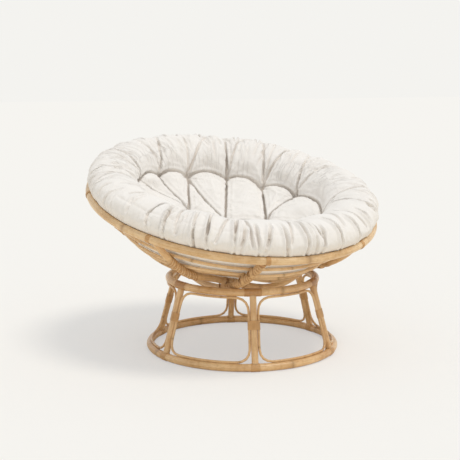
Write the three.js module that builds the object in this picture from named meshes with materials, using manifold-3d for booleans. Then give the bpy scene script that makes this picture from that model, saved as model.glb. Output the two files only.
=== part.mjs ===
// A papasan chair: a bowl of bent rattan poles that rests on a ring stand, with a round tufted cushion.
// Millimetres, +Z up. The low side of the bowl faces -Y. The origin is on the floor, below the middle
// of the whole chair. Azimuths are counted from the low side towards +X.
import * as THREE from 'three';
import { mergeVertices } from 'three/addons/utils/BufferGeometryUtils.js';
import Module from 'manifold-3d';

const wasm = await Module();
wasm.setup();

// Stand
const bottomRingRadius = 350;
const topRingRadius = 277;
const topRingHeight = 267;
const ringPoleRadius = 14;
const postRadius = 12;
const postCount = 6;
const firstPostAzimuth = THREE.MathUtils.degToRad(-22.3);
const loopRodRadius = 4.5;
const loopCornerReach = 52;

// Bowl
const rimRadius = 543;
const rimPoleRadius = 14;
const bowlDepth = 315.5;
const bowlTilt = THREE.MathUtils.degToRad(14.9);
const poleRadius = 12.5;
const nearPoleShare = 0.2726;
const farPoleShare = 0.4991;
const poleStop = 7;
const crossingReach = 204;
const crossingSeat = 22;
const hoopRodRadius = 5.5;
const hoopRadiusShares = [0.843, 0.764, 0.709, 0.617];

// Bindings of rattan peel
const peelThickness = 1.2;
const postBindingWidth = 34;
const postBindingHeightShare = 0.56;
const topBindingWidth = 60;
const bottomBindingWidth = 33;
const rimBindingWidth = 18;
const crossingBindingWidth = 10;
const crossingCornerShare = 0.8;
const hoopBindingWidth = 40;
const hoopBindingGap = 50;
const hoopLapAngle = THREE.MathUtils.degToRad(3);
const bindingEndAngle = THREE.MathUtils.degToRad(6);

// Clearances between pieces that touch
const fit = 0.3;
const bowlFit = 0.4;
const crossingFit = 0.5;
const crossingSlack = 0.5;
const hoopFit = 0.9;
const cushionFit = 0.8;

// Cushion. Heights are counted from the plane of the rim, along the axis of the bowl.
const undersideReachShare = 0.9;
const cushionOverhang = 14;
const cushionEdgeHeight = 52;
const cushionCrestInset = 69;
const cushionCrestHeight = 113;
const rollUnderInset = 11;
const rollUnderGap = 12.4;
const rollShares = [[0, 0], [0.3, 0.72], [1, 1], [2, 0.45]];
const cushionNeckGap = 17;
const cushionNeckHeight = 4;
const tuftRingInset = 237;
const tuftRingHeight = -22;
const dishDepth = 92;
const dishWallShares = [0.5, 0.7];
const puffRise = 20;
const tuftDepth = 24;
const tuftSpread = 44;
const channelDepth = 15;
const channelSpread = 26;
const outerTuftAzimuths = [-176, -152, -130, -106, -81, -55, -28, 0, 28, 57, 99, 128, 157];
const innerTuftAzimuths = [-138, -68, -2, 65, 175];
const innerTuftRadiusShares = [0.53, 0.5, 0.5, 0.47, 0.12];

// Facets
const ringSides = 10;
const ringSteps = 36;
const rimSteps = 48;
const poleSides = 8;
const poleSteps = 10;
const restSteps = 8;
const rodSides = 6;
const loopSteps = 26;
const bindingSteps = 16;
const bowlTurns = 48;
const undersideRows = 4;
const cushionTopRows = 15;

const fullTurn = 2 * Math.PI;
const down = -Math.PI / 2;

// Distance from the middle of a faceted rod to its flat sides
function flatRadius(radius, sides) {
  return radius * Math.cos(Math.PI / sides);
}

// Places that follow from the sizes
const bottomRingHeight = flatRadius(ringPoleRadius, ringSides);
const poleFlat = flatRadius(poleRadius, poleSides);
const bowlRadius = (rimRadius ** 2 + bowlDepth ** 2) / 2 / bowlDepth;
const poleMiddle = bowlRadius - poleFlat;
const rimDrop = bowlRadius - bowlDepth;
const nearPoleOffset = rimRadius * nearPoleShare;
const farPoleOffset = rimRadius * farPoleShare;
const bindingWall = fit + peelThickness;
const outerPoleDip = bindingWall;
const innerPoleDip = outerPoleDip + 2 * poleFlat + crossingFit;
const hoopFlat = flatRadius(hoopRodRadius, rodSides);
const dipSlope = Math.atan2((Math.PI * innerPoleDip) / 2, crossingReach - crossingSeat);
const hoopMiddle = poleMiddle - (poleFlat + hoopFlat) / Math.cos(dipSlope) - hoopFit;
const hoopDip = innerPoleDip + bindingWall + crossingFit;
const undersideRadius = hoopMiddle - flatRadius(hoopRodRadius + bindingWall, rodSides) - cushionFit;
const cushionNeckRadius = rimRadius - rimPoleRadius - cushionNeckGap;
const cushionEdgeRadius = rimRadius + cushionOverhang;
const cushionCrestRadius = rimRadius - cushionCrestInset;
const tuftRingRadius = rimRadius - tuftRingInset;

const rattan = new THREE.MeshStandardMaterial({ color: '#d9ad72', roughness: 0.45, metalness: 0 });
const peel = new THREE.MeshStandardMaterial({ color: '#b98348', roughness: 0.5, metalness: 0 });
const cotton = new THREE.MeshStandardMaterial({ color: '#efebe4', roughness: 0.95, metalness: 0 });

const chair = new THREE.Group();
const stand = new THREE.Group();
const bowl = new THREE.Group();
chair.add(stand, bowl);

// Unit vector that points level at an azimuth
function heading(azimuth) {
  return new THREE.Vector3(Math.sin(azimuth), -Math.cos(azimuth), 0);
}

// One place along a rod: its middle and the two directions that span its section
function station(point, across, up) {
  return { point, across, up };
}

function sectionPoint(place, x, y) {
  return place.point.clone().addScaledVector(place.across, x).addScaledVector(place.up, y);
}

// Corners of a round section, with a flat side at the bottom
function cornerAngles(sides) {
  return Array.from({ length: sides }, (_, k) => down + ((k + 0.5) * fullTurn) / sides);
}

function arcPoints(radius, angles) {
  return angles.map((angle) => new THREE.Vector2(radius * Math.cos(angle), radius * Math.sin(angle)));
}

function roundOutline(radius, sides) {
  return arcPoints(radius, cornerAngles(sides));
}

// Section of a strap that covers a rod from one angle round to another
function openStrap(bore, outer, from, to, sides) {
  const step = fullTurn / sides;
  const first = Math.ceil((from - down) / step - 0.5);
  const angles = [from];
  for (let k = first; down + (k + 0.5) * step < to; k += 1) {
    if (down + (k + 0.5) * step > from) angles.push(down + (k + 0.5) * step);
  }
  angles.push(to);
  return [...arcPoints(outer, angles), ...arcPoints(bore, angles).reverse()];
}

function meshGeometry(points, triangles) {
  const geometry = new THREE.BufferGeometry();
  const places = points.flatMap((point) => point.toArray());
  geometry.setAttribute('position', new THREE.Float32BufferAttribute(places, 3));
  geometry.setIndex(triangles);
  return facingOut(geometry);
}

// Turns the faces round where they point into the solid
function facingOut(geometry) {
  const place = geometry.getAttribute('position');
  const index = geometry.getIndex().array;
  const corner = (k) => new THREE.Vector3().fromBufferAttribute(place, index[k]);
  let volume = 0;
  for (let k = 0; k < index.length; k += 3) {
    volume += corner(k).dot(corner(k + 1).cross(corner(k + 2)));
  }
  if (volume < 0) {
    geometry.setIndex(Array.from(index).reverse());
  }
  return geometry;
}

// Solid swept through the stations, from an outline and any holes in it
function sweep(stations, outline, holes = [], closed = false) {
  const bores = holes.map((hole) => [...hole].reverse());
  const loops = [outline, ...bores];
  const size = loops.reduce((sum, loop) => sum + loop.length, 0);
  const points = [];
  const triangles = [];
  for (const place of stations) {
    for (const loop of loops) {
      for (const corner of loop) points.push(sectionPoint(place, corner.x, corner.y));
    }
  }
  const spans = closed ? stations.length : stations.length - 1;
  for (let s = 0; s < spans; s += 1) {
    const here = s * size;
    const next = ((s + 1) % stations.length) * size;
    let start = 0;
    for (const loop of loops) {
      for (let k = 0; k < loop.length; k += 1) {
        const a = start + k;
        const b = start + ((k + 1) % loop.length);
        triangles.push(here + a, here + b, next + b, here + a, next + b, next + a);
      }
      start += loop.length;
    }
  }
  if (!closed) {
    const lid = THREE.ShapeUtils.triangulateShape(outline, bores);
    const last = (stations.length - 1) * size;
    for (const [a, b, c] of lid) {
      triangles.push(c, b, a, last + a, last + b, last + c);
    }
  }
  return meshGeometry(points, triangles);
}

function rod(stations, radius, sides, closed) {
  return sweep(stations, roundOutline(radius, sides), [], closed);
}

function blend(a, b, share) {
  return a.clone().lerp(b, share);
}

// Station at a place between two of a closed rod's stations, counted in steps
function stationAt(stations, steps) {
  const low = Math.floor(steps);
  const share = steps - low;
  const count = stations.length;
  const a = stations[((low % count) + count) % count];
  const b = stations[(((low + 1) % count) + count) % count];
  const across = blend(a.across, b.across, share);
  return station(blend(a.point, b.point, share), across, blend(a.up, b.up, share));
}

// Stations of the stretch of a closed rod that a binding covers
function stretch(stations, middle, width) {
  const here = stationAt(stations, middle).point;
  const stepLength = here.distanceTo(stationAt(stations, middle + 1).point);
  const half = width / 2 / stepLength;
  const places = [middle - half];
  for (let k = Math.floor(middle - half) + 1; k < middle + half; k += 1) places.push(k);
  places.push(middle + half);
  return places.map((place) => stationAt(stations, place));
}

function ringStations(radius, height, steps, firstAzimuth) {
  return Array.from({ length: steps }, (_, k) => {
    const out = heading(firstAzimuth + (k * fullTurn) / steps);
    return station(out.clone().multiplyScalar(radius).setZ(height), out, new THREE.Vector3(0, 0, 1));
  });
}

function toSolid(geometry) {
  const bare = geometry.clone();
  bare.deleteAttribute('normal');
  bare.deleteAttribute('uv');
  const merged = mergeVertices(bare);
  return new wasm.Manifold(new wasm.Mesh({
    numProp: 3,
    vertProperties: new Float32Array(merged.getAttribute('position').array),
    triVerts: new Uint32Array(merged.getIndex().array),
  }));
}

// What is left of a piece when its neighbours are cut out of it
function cut(geometry, ...tools) {
  let solid = toSolid(geometry);
  for (const tool of tools) solid = solid.subtract(toSolid(tool));
  const mesh = solid.getMesh();
  const result = new THREE.BufferGeometry();
  result.setAttribute('position', new THREE.BufferAttribute(new Float32Array(mesh.vertProperties), 3));
  result.setIndex(Array.from(mesh.triVerts));
  return result;
}

function place(group, name, geometry, material) {
  geometry.deleteAttribute('normal');
  const mesh = new THREE.Mesh(geometry, material.clone());
  mesh.geometry.computeVertexNormals();
  mesh.name = name;
  group.add(mesh);
}

// Rings of the stand

const bottomRing = ringStations(bottomRingRadius, bottomRingHeight, ringSteps, firstPostAzimuth);
const topRing = ringStations(topRingRadius, topRingHeight, ringSteps, firstPostAzimuth);
const stepsBetweenPosts = ringSteps / postCount;

function addRings() {
  place(stand, 'bottom_ring', rod(bottomRing, ringPoleRadius, ringSides, true), rattan);
  place(stand, 'top_ring', rod(topRing, ringPoleRadius, ringSides, true), rattan);
}

// Posts, with their ends coped round the rings

const ringRise = topRingHeight - bottomRingHeight;
const slantLength = Math.hypot(bottomRingRadius - topRingRadius, ringRise);

// Outward direction square to the slanting side of the stand
function slantNormal(azimuth) {
  const out = heading(azimuth).multiplyScalar(ringRise / slantLength);
  return out.setZ((bottomRingRadius - topRingRadius) / slantLength);
}

function postAzimuth(k) {
  return firstPostAzimuth + (k * fullTurn) / postCount;
}

function postStations(k) {
  const foot = stationAt(bottomRing, k * stepsBetweenPosts).point;
  const head = stationAt(topRing, k * stepsBetweenPosts).point;
  const across = heading(postAzimuth(k) + Math.PI / 2);
  const up = slantNormal(postAzimuth(k));
  return [station(foot, across, up), station(head, across, up)];
}

function addPosts() {
  const rings = [
    rod(bottomRing, ringPoleRadius + fit, ringSides, true),
    rod(topRing, ringPoleRadius + fit, ringSides, true),
  ];
  for (let k = 0; k < postCount; k += 1) {
    const post = rod(postStations(k), postRadius, ringSides, false);
    place(stand, `post_${k + 1}`, cut(post, ...rings), rattan);
  }
}

// Loops of thin rod, one in each bay between two posts

const loopSide = postRadius + loopRodRadius + fit;
const loopEnd = ringPoleRadius + loopRodRadius + fit;

function slantRadius(up) {
  return THREE.MathUtils.lerp(bottomRingRadius, topRingRadius, up / slantLength);
}

function loopHalfWidth(up) {
  return (slantRadius(up) * Math.PI) / postCount - loopSide;
}

// The loop's middle line, laid out flat: across the bay and up the slanting side of the stand
function flatLoop() {
  const low = loopEnd;
  const high = slantLength - loopEnd;
  const corners = [
    new THREE.Vector2(-loopHalfWidth(low), low),
    new THREE.Vector2(loopHalfWidth(low), low),
    new THREE.Vector2(loopHalfWidth(high), high),
    new THREE.Vector2(-loopHalfWidth(high), high),
  ];
  const path = new THREE.Path();
  corners.forEach((corner, k) => {
    const before = corners[(k + 3) % 4];
    const after = corners[(k + 1) % 4];
    const enter = corner.clone().lerp(before, loopCornerReach / corner.distanceTo(before));
    const leave = corner.clone().lerp(after, loopCornerReach / corner.distanceTo(after));
    if (k === 0) path.moveTo(enter.x, enter.y);
    else path.lineTo(enter.x, enter.y);
    path.quadraticCurveTo(corner.x, corner.y, leave.x, leave.y);
  });
  path.closePath();
  return path.getSpacedPoints(loopSteps).slice(0, loopSteps);
}

function slantPoint(azimuth, up) {
  const height = bottomRingHeight + (ringRise * up) / slantLength;
  return heading(azimuth).multiplyScalar(slantRadius(up)).setZ(height);
}

function loopStations(k) {
  const middle = postAzimuth(k) + Math.PI / postCount;
  const flat = flatLoop();
  const azimuths = flat.map((spot) => middle + spot.x / slantRadius(spot.y));
  const points = flat.map((spot, n) => slantPoint(azimuths[n], spot.y));
  return points.map((point, n) => {
    const before = points[(n + points.length - 1) % points.length];
    const after = points[(n + 1) % points.length];
    const along = after.clone().sub(before).normalize();
    const out = slantNormal(azimuths[n]);
    return station(point, out.clone().cross(along).normalize(), out);
  });
}

function addLoops() {
  for (let k = 0; k < postCount; k += 1) {
    place(stand, `bay_loop_${k + 1}`, rod(loopStations(k), loopRodRadius, rodSides, true), rattan);
  }
}

// Bindings of the stand

// Outline of a strap drawn tight round several round rods that lie side by side
function tightOutline(rods, grow) {
  const points = [];
  for (let n = 0; n < bindingSteps; n += 1) {
    const angle = ((n + 0.5) * fullTurn) / bindingSteps;
    const aim = new THREE.Vector2(Math.cos(angle), Math.sin(angle));
    const reach = (each) => each.middle.dot(aim) + each.radius;
    const last = rods.reduce((best, each) => (reach(each) > reach(best) ? each : best));
    const away = (last.radius + grow) / Math.cos(Math.PI / bindingSteps);
    points.push(last.middle.clone().addScaledVector(aim, away));
  }
  return points;
}

// A post with the sides of the two loops beside it, seen along the post
function postAndLoops(up) {
  const turn = loopSide / slantRadius(up);
  const side = slantRadius(up) * Math.sin(turn);
  const back = -slantRadius(up) * (1 - Math.cos(turn));
  return [
    { middle: new THREE.Vector2(0, 0), radius: postRadius },
    { middle: new THREE.Vector2(side, back), radius: loopRodRadius },
    { middle: new THREE.Vector2(-side, back), radius: loopRodRadius },
  ];
}

function addPostBindings() {
  const rods = postAndLoops(slantLength * postBindingHeightShare);
  const halfShare = postBindingWidth / 2 / slantLength;
  for (let k = 0; k < postCount; k += 1) {
    const [foot, head] = postStations(k);
    const ends = [postBindingHeightShare - halfShare, postBindingHeightShare + halfShare].map((share) => (
      station(blend(foot.point, head.point, share), foot.across, foot.up)
    ));
    const strap = sweep(ends, tightOutline(rods, bindingWall), [tightOutline(rods, fit)]);
    place(stand, `post_binding_${k + 1}`, strap, peel);
  }
}

function addRingBindings() {
  const bore = ringPoleRadius + fit;
  const outer = bore + peelThickness;
  const ring = [roundOutline(outer, ringSides), [roundOutline(bore, ringSides)]];
  const lift = Math.acos((bottomRingHeight - fit) / outer) + bindingEndAngle;
  const openBelow = openStrap(bore, outer, down + lift, down + fullTurn - lift, ringSides);
  for (let k = 0; k < postCount; k += 1) {
    const post = rod(postStations(k), postRadius + fit, ringSides, false);
    const top = sweep(stretch(topRing, k * stepsBetweenPosts, topBindingWidth), ...ring);
    place(stand, `top_binding_${k + 1}`, cut(top, post), peel);
    const bottom = sweep(stretch(bottomRing, k * stepsBetweenPosts, bottomBindingWidth), openBelow);
    place(stand, `bottom_binding_${k + 1}`, cut(bottom, post), peel);
  }
}

// Bowl. Its own origin is the middle of the sphere that its underside follows.

const rim = ringStations(rimRadius, -rimDrop, rimSteps, 0);
const polesX = [-nearPoleOffset, farPoleOffset];
const polesY = [-farPoleOffset, nearPoleOffset];

// Unit vector from the middle of the sphere down to a place under the bowl
function downward(x, y, radius) {
  return new THREE.Vector3(x, y, -Math.sqrt(radius ** 2 - x ** 2 - y ** 2)).normalize();
}

const crossings = polesX.flatMap((x) => polesY.map((y) => downward(x, y, poleMiddle)));

// 1 where two poles cross, easing to 0 at the end of the crossing's reach
function nearCrossing(direction) {
  const ease = crossings.map((crossing) => {
    const away = poleMiddle * direction.angleTo(crossing);
    const share = THREE.MathUtils.clamp((away - crossingSeat) / (crossingReach - crossingSeat), 0, 1);
    return (1 + Math.cos(Math.PI * share)) / 2;
  });
  return Math.max(...ease);
}

function bowlPoint(direction, radius, dip) {
  return direction.clone().multiplyScalar(radius - dip * nearCrossing(direction));
}

// Directions from the middle of the sphere along one pole, with a stop at each crossing
function poleDirections(offset, alongY) {
  const arc = Math.sqrt(poleMiddle ** 2 - offset ** 2);
  const end = Math.acos((poleMiddle * rimDrop) / bowlRadius / arc) - poleStop / poleMiddle;
  const others = alongY ? polesY : polesX;
  const stops = [-end, ...others.map((other) => Math.asin(other / arc)), end];
  const angles = [-end];
  for (let k = 1; k < stops.length; k += 1) {
    for (let n = 1; n <= poleSteps; n += 1) {
      angles.push(THREE.MathUtils.lerp(stops[k - 1], stops[k], n / poleSteps));
    }
  }
  return angles.map((angle) => {
    const side = arc * Math.sin(angle);
    const drop = -arc * Math.cos(angle);
    return alongY ? new THREE.Vector3(offset, side, drop) : new THREE.Vector3(side, offset, drop);
  }).map((spot) => spot.normalize());
}

function poleStations(offset, alongY, dip) {
  const directions = poleDirections(offset, alongY);
  const points = directions.map((direction) => bowlPoint(direction, poleMiddle, dip));
  return points.map((point, n) => {
    const before = points[Math.max(n - 1, 0)];
    const after = points[Math.min(n + 1, points.length - 1)];
    const along = after.clone().sub(before).normalize();
    const across = along.clone().cross(directions[n]).normalize();
    return station(point, across, across.clone().cross(along));
  });
}

// Height of the sphere's middle over the top ring at which a pole there just clears the ring or its binding
function holdHeight(spot) {
  const turns = ((Math.atan2(spot.x, -spot.y) - firstPostAzimuth) * postCount) / fullTurn;
  const away = (Math.abs(turns - Math.round(turns)) * fullTurn * topRingRadius) / postCount;
  const wall = away < topBindingWidth / 2 + 2 * poleRadius ? bindingWall : 0;
  const reach = poleRadius + ringPoleRadius + wall + bowlFit;
  const beside = Math.min(Math.abs(Math.hypot(spot.x, spot.y) - topRingRadius), reach);
  return Math.sqrt(reach ** 2 - beside ** 2) - spot.z;
}

// The outer poles rest on the ring of the stand
const restSpots = polesX.flatMap((offset) => {
  const points = poleStations(offset, true, outerPoleDip).map((each) => each.point);
  return points.slice(1).flatMap((point, n) => (
    Array.from({ length: restSteps }, (_, k) => blend(points[n], point, k / restSteps))
  ));
}).map((spot) => spot.applyAxisAngle(new THREE.Vector3(1, 0, 0), bowlTilt));
const nearRing = restSpots.filter((spot) => Math.abs(Math.hypot(spot.x, spot.y) - topRingRadius) < ringPoleRadius);
bowl.position.z = topRingHeight + Math.max(...nearRing.map(holdHeight));
bowl.rotation.x = bowlTilt;

function addPoles() {
  const notch = rod(rim, rimPoleRadius + fit, ringSides, true);
  polesX.forEach((offset, k) => {
    const pole = rod(poleStations(offset, true, outerPoleDip), poleRadius, poleSides, false);
    place(bowl, `outer_pole_${k + 1}`, cut(pole, notch), rattan);
  });
  polesY.forEach((offset, k) => {
    const pole = rod(poleStations(offset, false, innerPoleDip), poleRadius, poleSides, false);
    place(bowl, `inner_pole_${k + 1}`, cut(pole, notch), rattan);
  });
}

function addRim() {
  place(bowl, 'rim_hoop', rod(rim, rimPoleRadius, ringSides, true), rattan);
  const bore = rimPoleRadius + fit;
  const outward = -Math.asin(rimDrop / bowlRadius);
  const from = outward - Math.PI / 2 + bindingEndAngle;
  const to = outward + Math.PI - bindingEndAngle;
  const strap = openStrap(bore, bore + peelThickness, from, to, ringSides);
  const turnsX = polesX.map((x) => Math.asin(x / rimRadius));
  const turnsY = polesY.map((y) => Math.acos(-y / rimRadius));
  const azimuths = [
    ...turnsX.flatMap((turn) => [turn, Math.PI - turn]),
    ...turnsY.flatMap((turn) => [turn, -turn]),
  ];
  azimuths.forEach((azimuth, k) => {
    const places = stretch(rim, (azimuth / fullTurn) * rimSteps, rimBindingWidth);
    place(bowl, `rim_binding_${k + 1}`, sweep(places, strap), peel);
  });
}

// Hoops that lie inside the poles, each lapped and bound once

function hoopStations(radius) {
  return Array.from({ length: bowlTurns }, (_, k) => {
    const out = heading((k * fullTurn) / bowlTurns);
    const direction = downward(out.x * radius, out.y * radius, hoopMiddle);
    const up = direction.clone().negate();
    const along = new THREE.Vector3(0, 0, 1).cross(out);
    return station(bowlPoint(direction, hoopMiddle, hoopDip), along.cross(up), up);
  });
}

// Azimuth where a hoop's ends lap. The innermost one laps beside a crossing, the others beside a pole.
function hoopLap(k) {
  if (k === hoopRadiusShares.length - 1) return -Math.atan2(nearPoleOffset, farPoleOffset) - hoopLapAngle;
  return Math.PI - Math.asin((farPoleOffset - hoopBindingGap) / (rimRadius * hoopRadiusShares[k]));
}

function addHoops() {
  const bore = hoopRodRadius + fit;
  const outer = bore + peelThickness;
  const strap = [roundOutline(outer, rodSides), [roundOutline(bore, rodSides)]];
  hoopRadiusShares.forEach((share, k) => {
    const stations = hoopStations(rimRadius * share);
    place(bowl, `hoop_${k + 1}`, rod(stations, hoopRodRadius, rodSides, true), rattan);
    const places = stretch(stations, (hoopLap(k) / fullTurn) * bowlTurns, hoopBindingWidth);
    place(bowl, `hoop_binding_${k + 1}`, sweep(places, ...strap), peel);
  });
}

// Bindings that hold two poles together where they cross

function roundedBox(halfWidth, halfHeight, corner) {
  const points = [];
  const cornerSteps = bindingSteps / 4 - 1;
  [[1, 1], [-1, 1], [-1, -1], [1, -1]].forEach(([x, y], quarter) => {
    for (let n = 0; n <= cornerSteps; n += 1) {
      const angle = (Math.PI / 2) * (quarter + n / cornerSteps);
      points.push(new THREE.Vector2(
        x * (halfWidth - corner) + corner * Math.cos(angle),
        y * (halfHeight - corner) + corner * Math.sin(angle),
      ));
    }
  });
  return points;
}

function addCrossingBindings() {
  const middle = poleMiddle - outerPoleDip - poleFlat - crossingFit / 2;
  crossings.forEach((direction, k) => {
    const alongY = new THREE.Vector3(1, 0, 0).cross(direction).normalize();
    const alongX = direction.clone().cross(new THREE.Vector3(0, 1, 0)).normalize();
    const diagonal = alongY.clone().add(alongX).normalize();
    const skew = diagonal.angleTo(alongY);
    const overHang = (crossingBindingWidth / 2) * Math.cos(skew);
    const halfWidth = (poleRadius + overHang) / Math.sin(skew) + crossingFit;
    const halfHeight = 2 * poleFlat + crossingFit / 2 + crossingSlack;
    const along = diagonal.clone().cross(direction).normalize();
    const ends = [-crossingBindingWidth / 2, crossingBindingWidth / 2].map((shift) => station(
      direction.clone().multiplyScalar(middle).addScaledVector(along, shift), diagonal, direction,
    ));
    const corner = poleRadius * crossingCornerShare;
    const inside = roundedBox(halfWidth, halfHeight, corner);
    const outside = roundedBox(
      halfWidth + peelThickness,
      halfHeight + peelThickness,
      corner + peelThickness,
    );
    place(bowl, `crossing_binding_${k + 1}`, sweep(ends, outside, [inside]), peel);
  });
}

// Cushion

const outerTufts = outerTuftAzimuths.map((azimuth) => (
  heading(THREE.MathUtils.degToRad(azimuth)).multiplyScalar(tuftRingRadius)
));
const innerTufts = innerTuftAzimuths.map((azimuth, k) => (
  heading(THREE.MathUtils.degToRad(azimuth)).multiplyScalar(tuftRingRadius * innerTuftRadiusShares[k])
));

function dimple(distance, spread) {
  return Math.exp(-((distance / spread) ** 2));
}

// How far the sewing draws the top of the cushion down at a place
function drawnDown(x, y) {
  const spot = new THREE.Vector3(x, y, 0);
  const tufts = [...outerTufts, ...innerTufts];
  const tuft = Math.max(...tufts.map((each) => dimple(each.distanceTo(spot), tuftSpread)));
  const channel = Math.max(...outerTufts.map((each) => {
    const outward = each.clone().normalize();
    const along = Math.max(spot.dot(outward), tuftRingRadius);
    return dimple(spot.distanceTo(outward.multiplyScalar(along)), channelSpread);
  }));
  return tuftDepth * tuft + channelDepth * channel;
}

// Side view of the cushion above its underside, from the neck inside the rim to the middle of the dish.
// The roll's upper points are shares of the way from its edge to its crest, inwards and upwards.
function cushionProfile() {
  const [wallIn, wallDown] = dishWallShares;
  return new THREE.CatmullRomCurve3([
    new THREE.Vector3(cushionNeckRadius, cushionNeckHeight, 0),
    new THREE.Vector3(rimRadius - rollUnderInset, rimPoleRadius + rollUnderGap, 0),
    ...rollShares.map(([inward, upward]) => new THREE.Vector3(
      THREE.MathUtils.lerp(cushionEdgeRadius, cushionCrestRadius, inward),
      THREE.MathUtils.lerp(cushionEdgeHeight, cushionCrestHeight, upward),
      0,
    )),
    new THREE.Vector3(tuftRingRadius, tuftRingHeight, 0),
    new THREE.Vector3(
      tuftRingRadius * wallIn,
      THREE.MathUtils.lerp(tuftRingHeight, -dishDepth, wallDown),
      0,
    ),
    new THREE.Vector3(0, -dishDepth, 0),
  ]);
}

// Poles with a clearance round them, which the underside keeps out of
function polesWithRoom() {
  return [
    ...polesX.map((offset) => poleStations(offset, true, outerPoleDip)),
    ...polesY.map((offset) => poleStations(offset, false, innerPoleDip)),
  ].map((stations) => rod(stations, poleRadius + fit, poleSides, false));
}

function addCushion() {
  const innerHoopShare = Math.min(...hoopRadiusShares);
  const radiusShares = [...hoopRadiusShares, undersideReachShare];
  for (let row = 1; row < undersideRows; row += 1) {
    radiusShares.push((innerHoopShare * row) / undersideRows);
  }
  radiusShares.sort((a, b) => a - b);
  const rows = radiusShares.map((share) => (out) => {
    const reach = rimRadius * share;
    const direction = downward(out.x * reach, out.y * reach, hoopMiddle);
    return bowlPoint(direction, undersideRadius, hoopDip);
  });
  const profile = cushionProfile();
  for (let row = 0; row < cushionTopRows; row += 1) {
    const spot = profile.getPointAt(row / cushionTopRows);
    const wall = cushionCrestRadius - tuftRingRadius;
    const puff = THREE.MathUtils.smoothstep(cushionCrestRadius - spot.x, 0, wall);
    const sewn = row === 0 ? 0 : 1;
    rows.push((out) => new THREE.Vector3(
      out.x * spot.x,
      out.y * spot.x,
      spot.y - rimDrop + puffRise * puff - sewn * drawnDown(out.x * spot.x, out.y * spot.x),
    ));
  }
  const points = [new THREE.Vector3(0, 0, -undersideRadius)];
  const triangles = [];
  rows.forEach((row, r) => {
    for (let turn = 0; turn < bowlTurns; turn += 1) {
      points.push(row(heading((turn * fullTurn) / bowlTurns)));
      const next = (turn + 1) % bowlTurns;
      const here = 1 + r * bowlTurns;
      if (r === 0) triangles.push(0, here + turn, here + next);
      else {
        const under = here - bowlTurns;
        triangles.push(under + turn, here + turn, here + next, under + turn, here + next, under + next);
      }
    }
  });
  const top = points.length;
  points.push(new THREE.Vector3(0, 0, -rimDrop - dishDepth + puffRise - drawnDown(0, 0)));
  for (let turn = 0; turn < bowlTurns; turn += 1) {
    const next = (turn + 1) % bowlTurns;
    triangles.push(top - bowlTurns + turn, top, top - bowlTurns + next);
  }
  place(bowl, 'cushion', cut(meshGeometry(points, triangles), ...polesWithRoom()), cotton);
}

addRings();
addPosts();
addLoops();
addPostBindings();
addRingBindings();
addRim();
addPoles();
addHoops();
addCrossingBindings();
addCushion();

// The middle of the whole chair goes over the origin
chair.updateMatrixWorld(true);
const extent = new THREE.Box3().setFromObject(chair, true);
chair.position.x = -(extent.min.x + extent.max.x) / 2;
chair.position.y = -(extent.min.y + extent.max.y) / 2;

export default chair;
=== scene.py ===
import math
import random

import bpy
import numpy as np
from mathutils import Matrix, Vector


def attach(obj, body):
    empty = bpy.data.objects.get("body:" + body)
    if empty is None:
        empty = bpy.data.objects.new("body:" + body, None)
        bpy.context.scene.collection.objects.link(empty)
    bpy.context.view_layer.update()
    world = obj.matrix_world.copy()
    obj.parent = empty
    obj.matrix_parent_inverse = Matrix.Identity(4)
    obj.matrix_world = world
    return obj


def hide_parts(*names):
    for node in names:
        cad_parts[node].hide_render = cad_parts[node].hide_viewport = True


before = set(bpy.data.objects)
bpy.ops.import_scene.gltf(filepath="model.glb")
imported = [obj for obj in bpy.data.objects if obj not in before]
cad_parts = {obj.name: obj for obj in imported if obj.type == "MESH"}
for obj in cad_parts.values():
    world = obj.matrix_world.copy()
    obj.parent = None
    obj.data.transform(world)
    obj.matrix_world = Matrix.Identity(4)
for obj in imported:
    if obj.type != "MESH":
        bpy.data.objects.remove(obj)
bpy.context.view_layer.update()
random.seed(11)

standCentre = Vector((0, -0.076119, 0))

stand = {
    "bottomRadius": 0.350,
    "topRadius": 0.277,
    "bottomHeight": 0.0133,
    "topHeight": 0.267,
    "ringPole": 0.014,
    "post": 0.012,
    "loopRod": 0.0045,
    "loopCorner": 0.052,
    "firstPost": -22.3,
    "posts": 6,
    "sunk": 0.003,
    "clearance": 0.0003,
}

bowl = {
    "sphere": 0.625023,
    "centre": Vector((0, -0.076119, 0.844737)),
    "tilt": math.radians(14.9),
    "rimRadius": 0.543,
    "rimPole": 0.014,
    "pole": 0.0125,
    "polesX": (-0.148, 0.271),
    "polesY": (-0.271, 0.148),
    "hoopRadii": (0.458, 0.415, 0.385, 0.335),
    "hoopRod": 0.0055,
    "outerDip": 0.0015,
    "innerDip": 0.0251,
    "hoopDip": 0.0271,
    "crossingSeat": 0.022,
    "crossingReach": 0.204,
    "poleToHoop": 0.01669,
    "hoopGap": 0.0009,
    "poleShort": 0.004,
}
bowl["rimDrop"] = math.sqrt(bowl["sphere"] ** 2 - bowl["rimRadius"] ** 2)
bowl["matrix"] = Matrix.Translation(bowl["centre"]) @ Matrix.Rotation(bowl["tilt"], 4, "X")


def setAll(target, values):
    for key, value in values.items():
        setattr(target, key, value)


def only(piece):
    bpy.ops.object.select_all(action="DESELECT")
    piece.select_set(True)
    bpy.context.view_layer.objects.active = piece


def applyAll(piece):
    only(piece)
    for modifier in list(piece.modifiers):
        bpy.ops.object.modifier_apply(modifier=modifier.name)


def heading(degrees):
    # level direction, counted from the low side towards +X
    angle = math.radians(degrees)
    return Vector((math.sin(angle), -math.cos(angle), 0))


def frameOf(origin, across, along):
    # matrix with local X on across, local Z on along
    zAxis = along.normalized()
    xAxis = (across - across.dot(zAxis) * zAxis).normalized()
    yAxis = zAxis.cross(xAxis)
    m = Matrix((xAxis, yAxis, zAxis)).transposed().to_4x4()
    m.translation = origin
    return m


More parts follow.
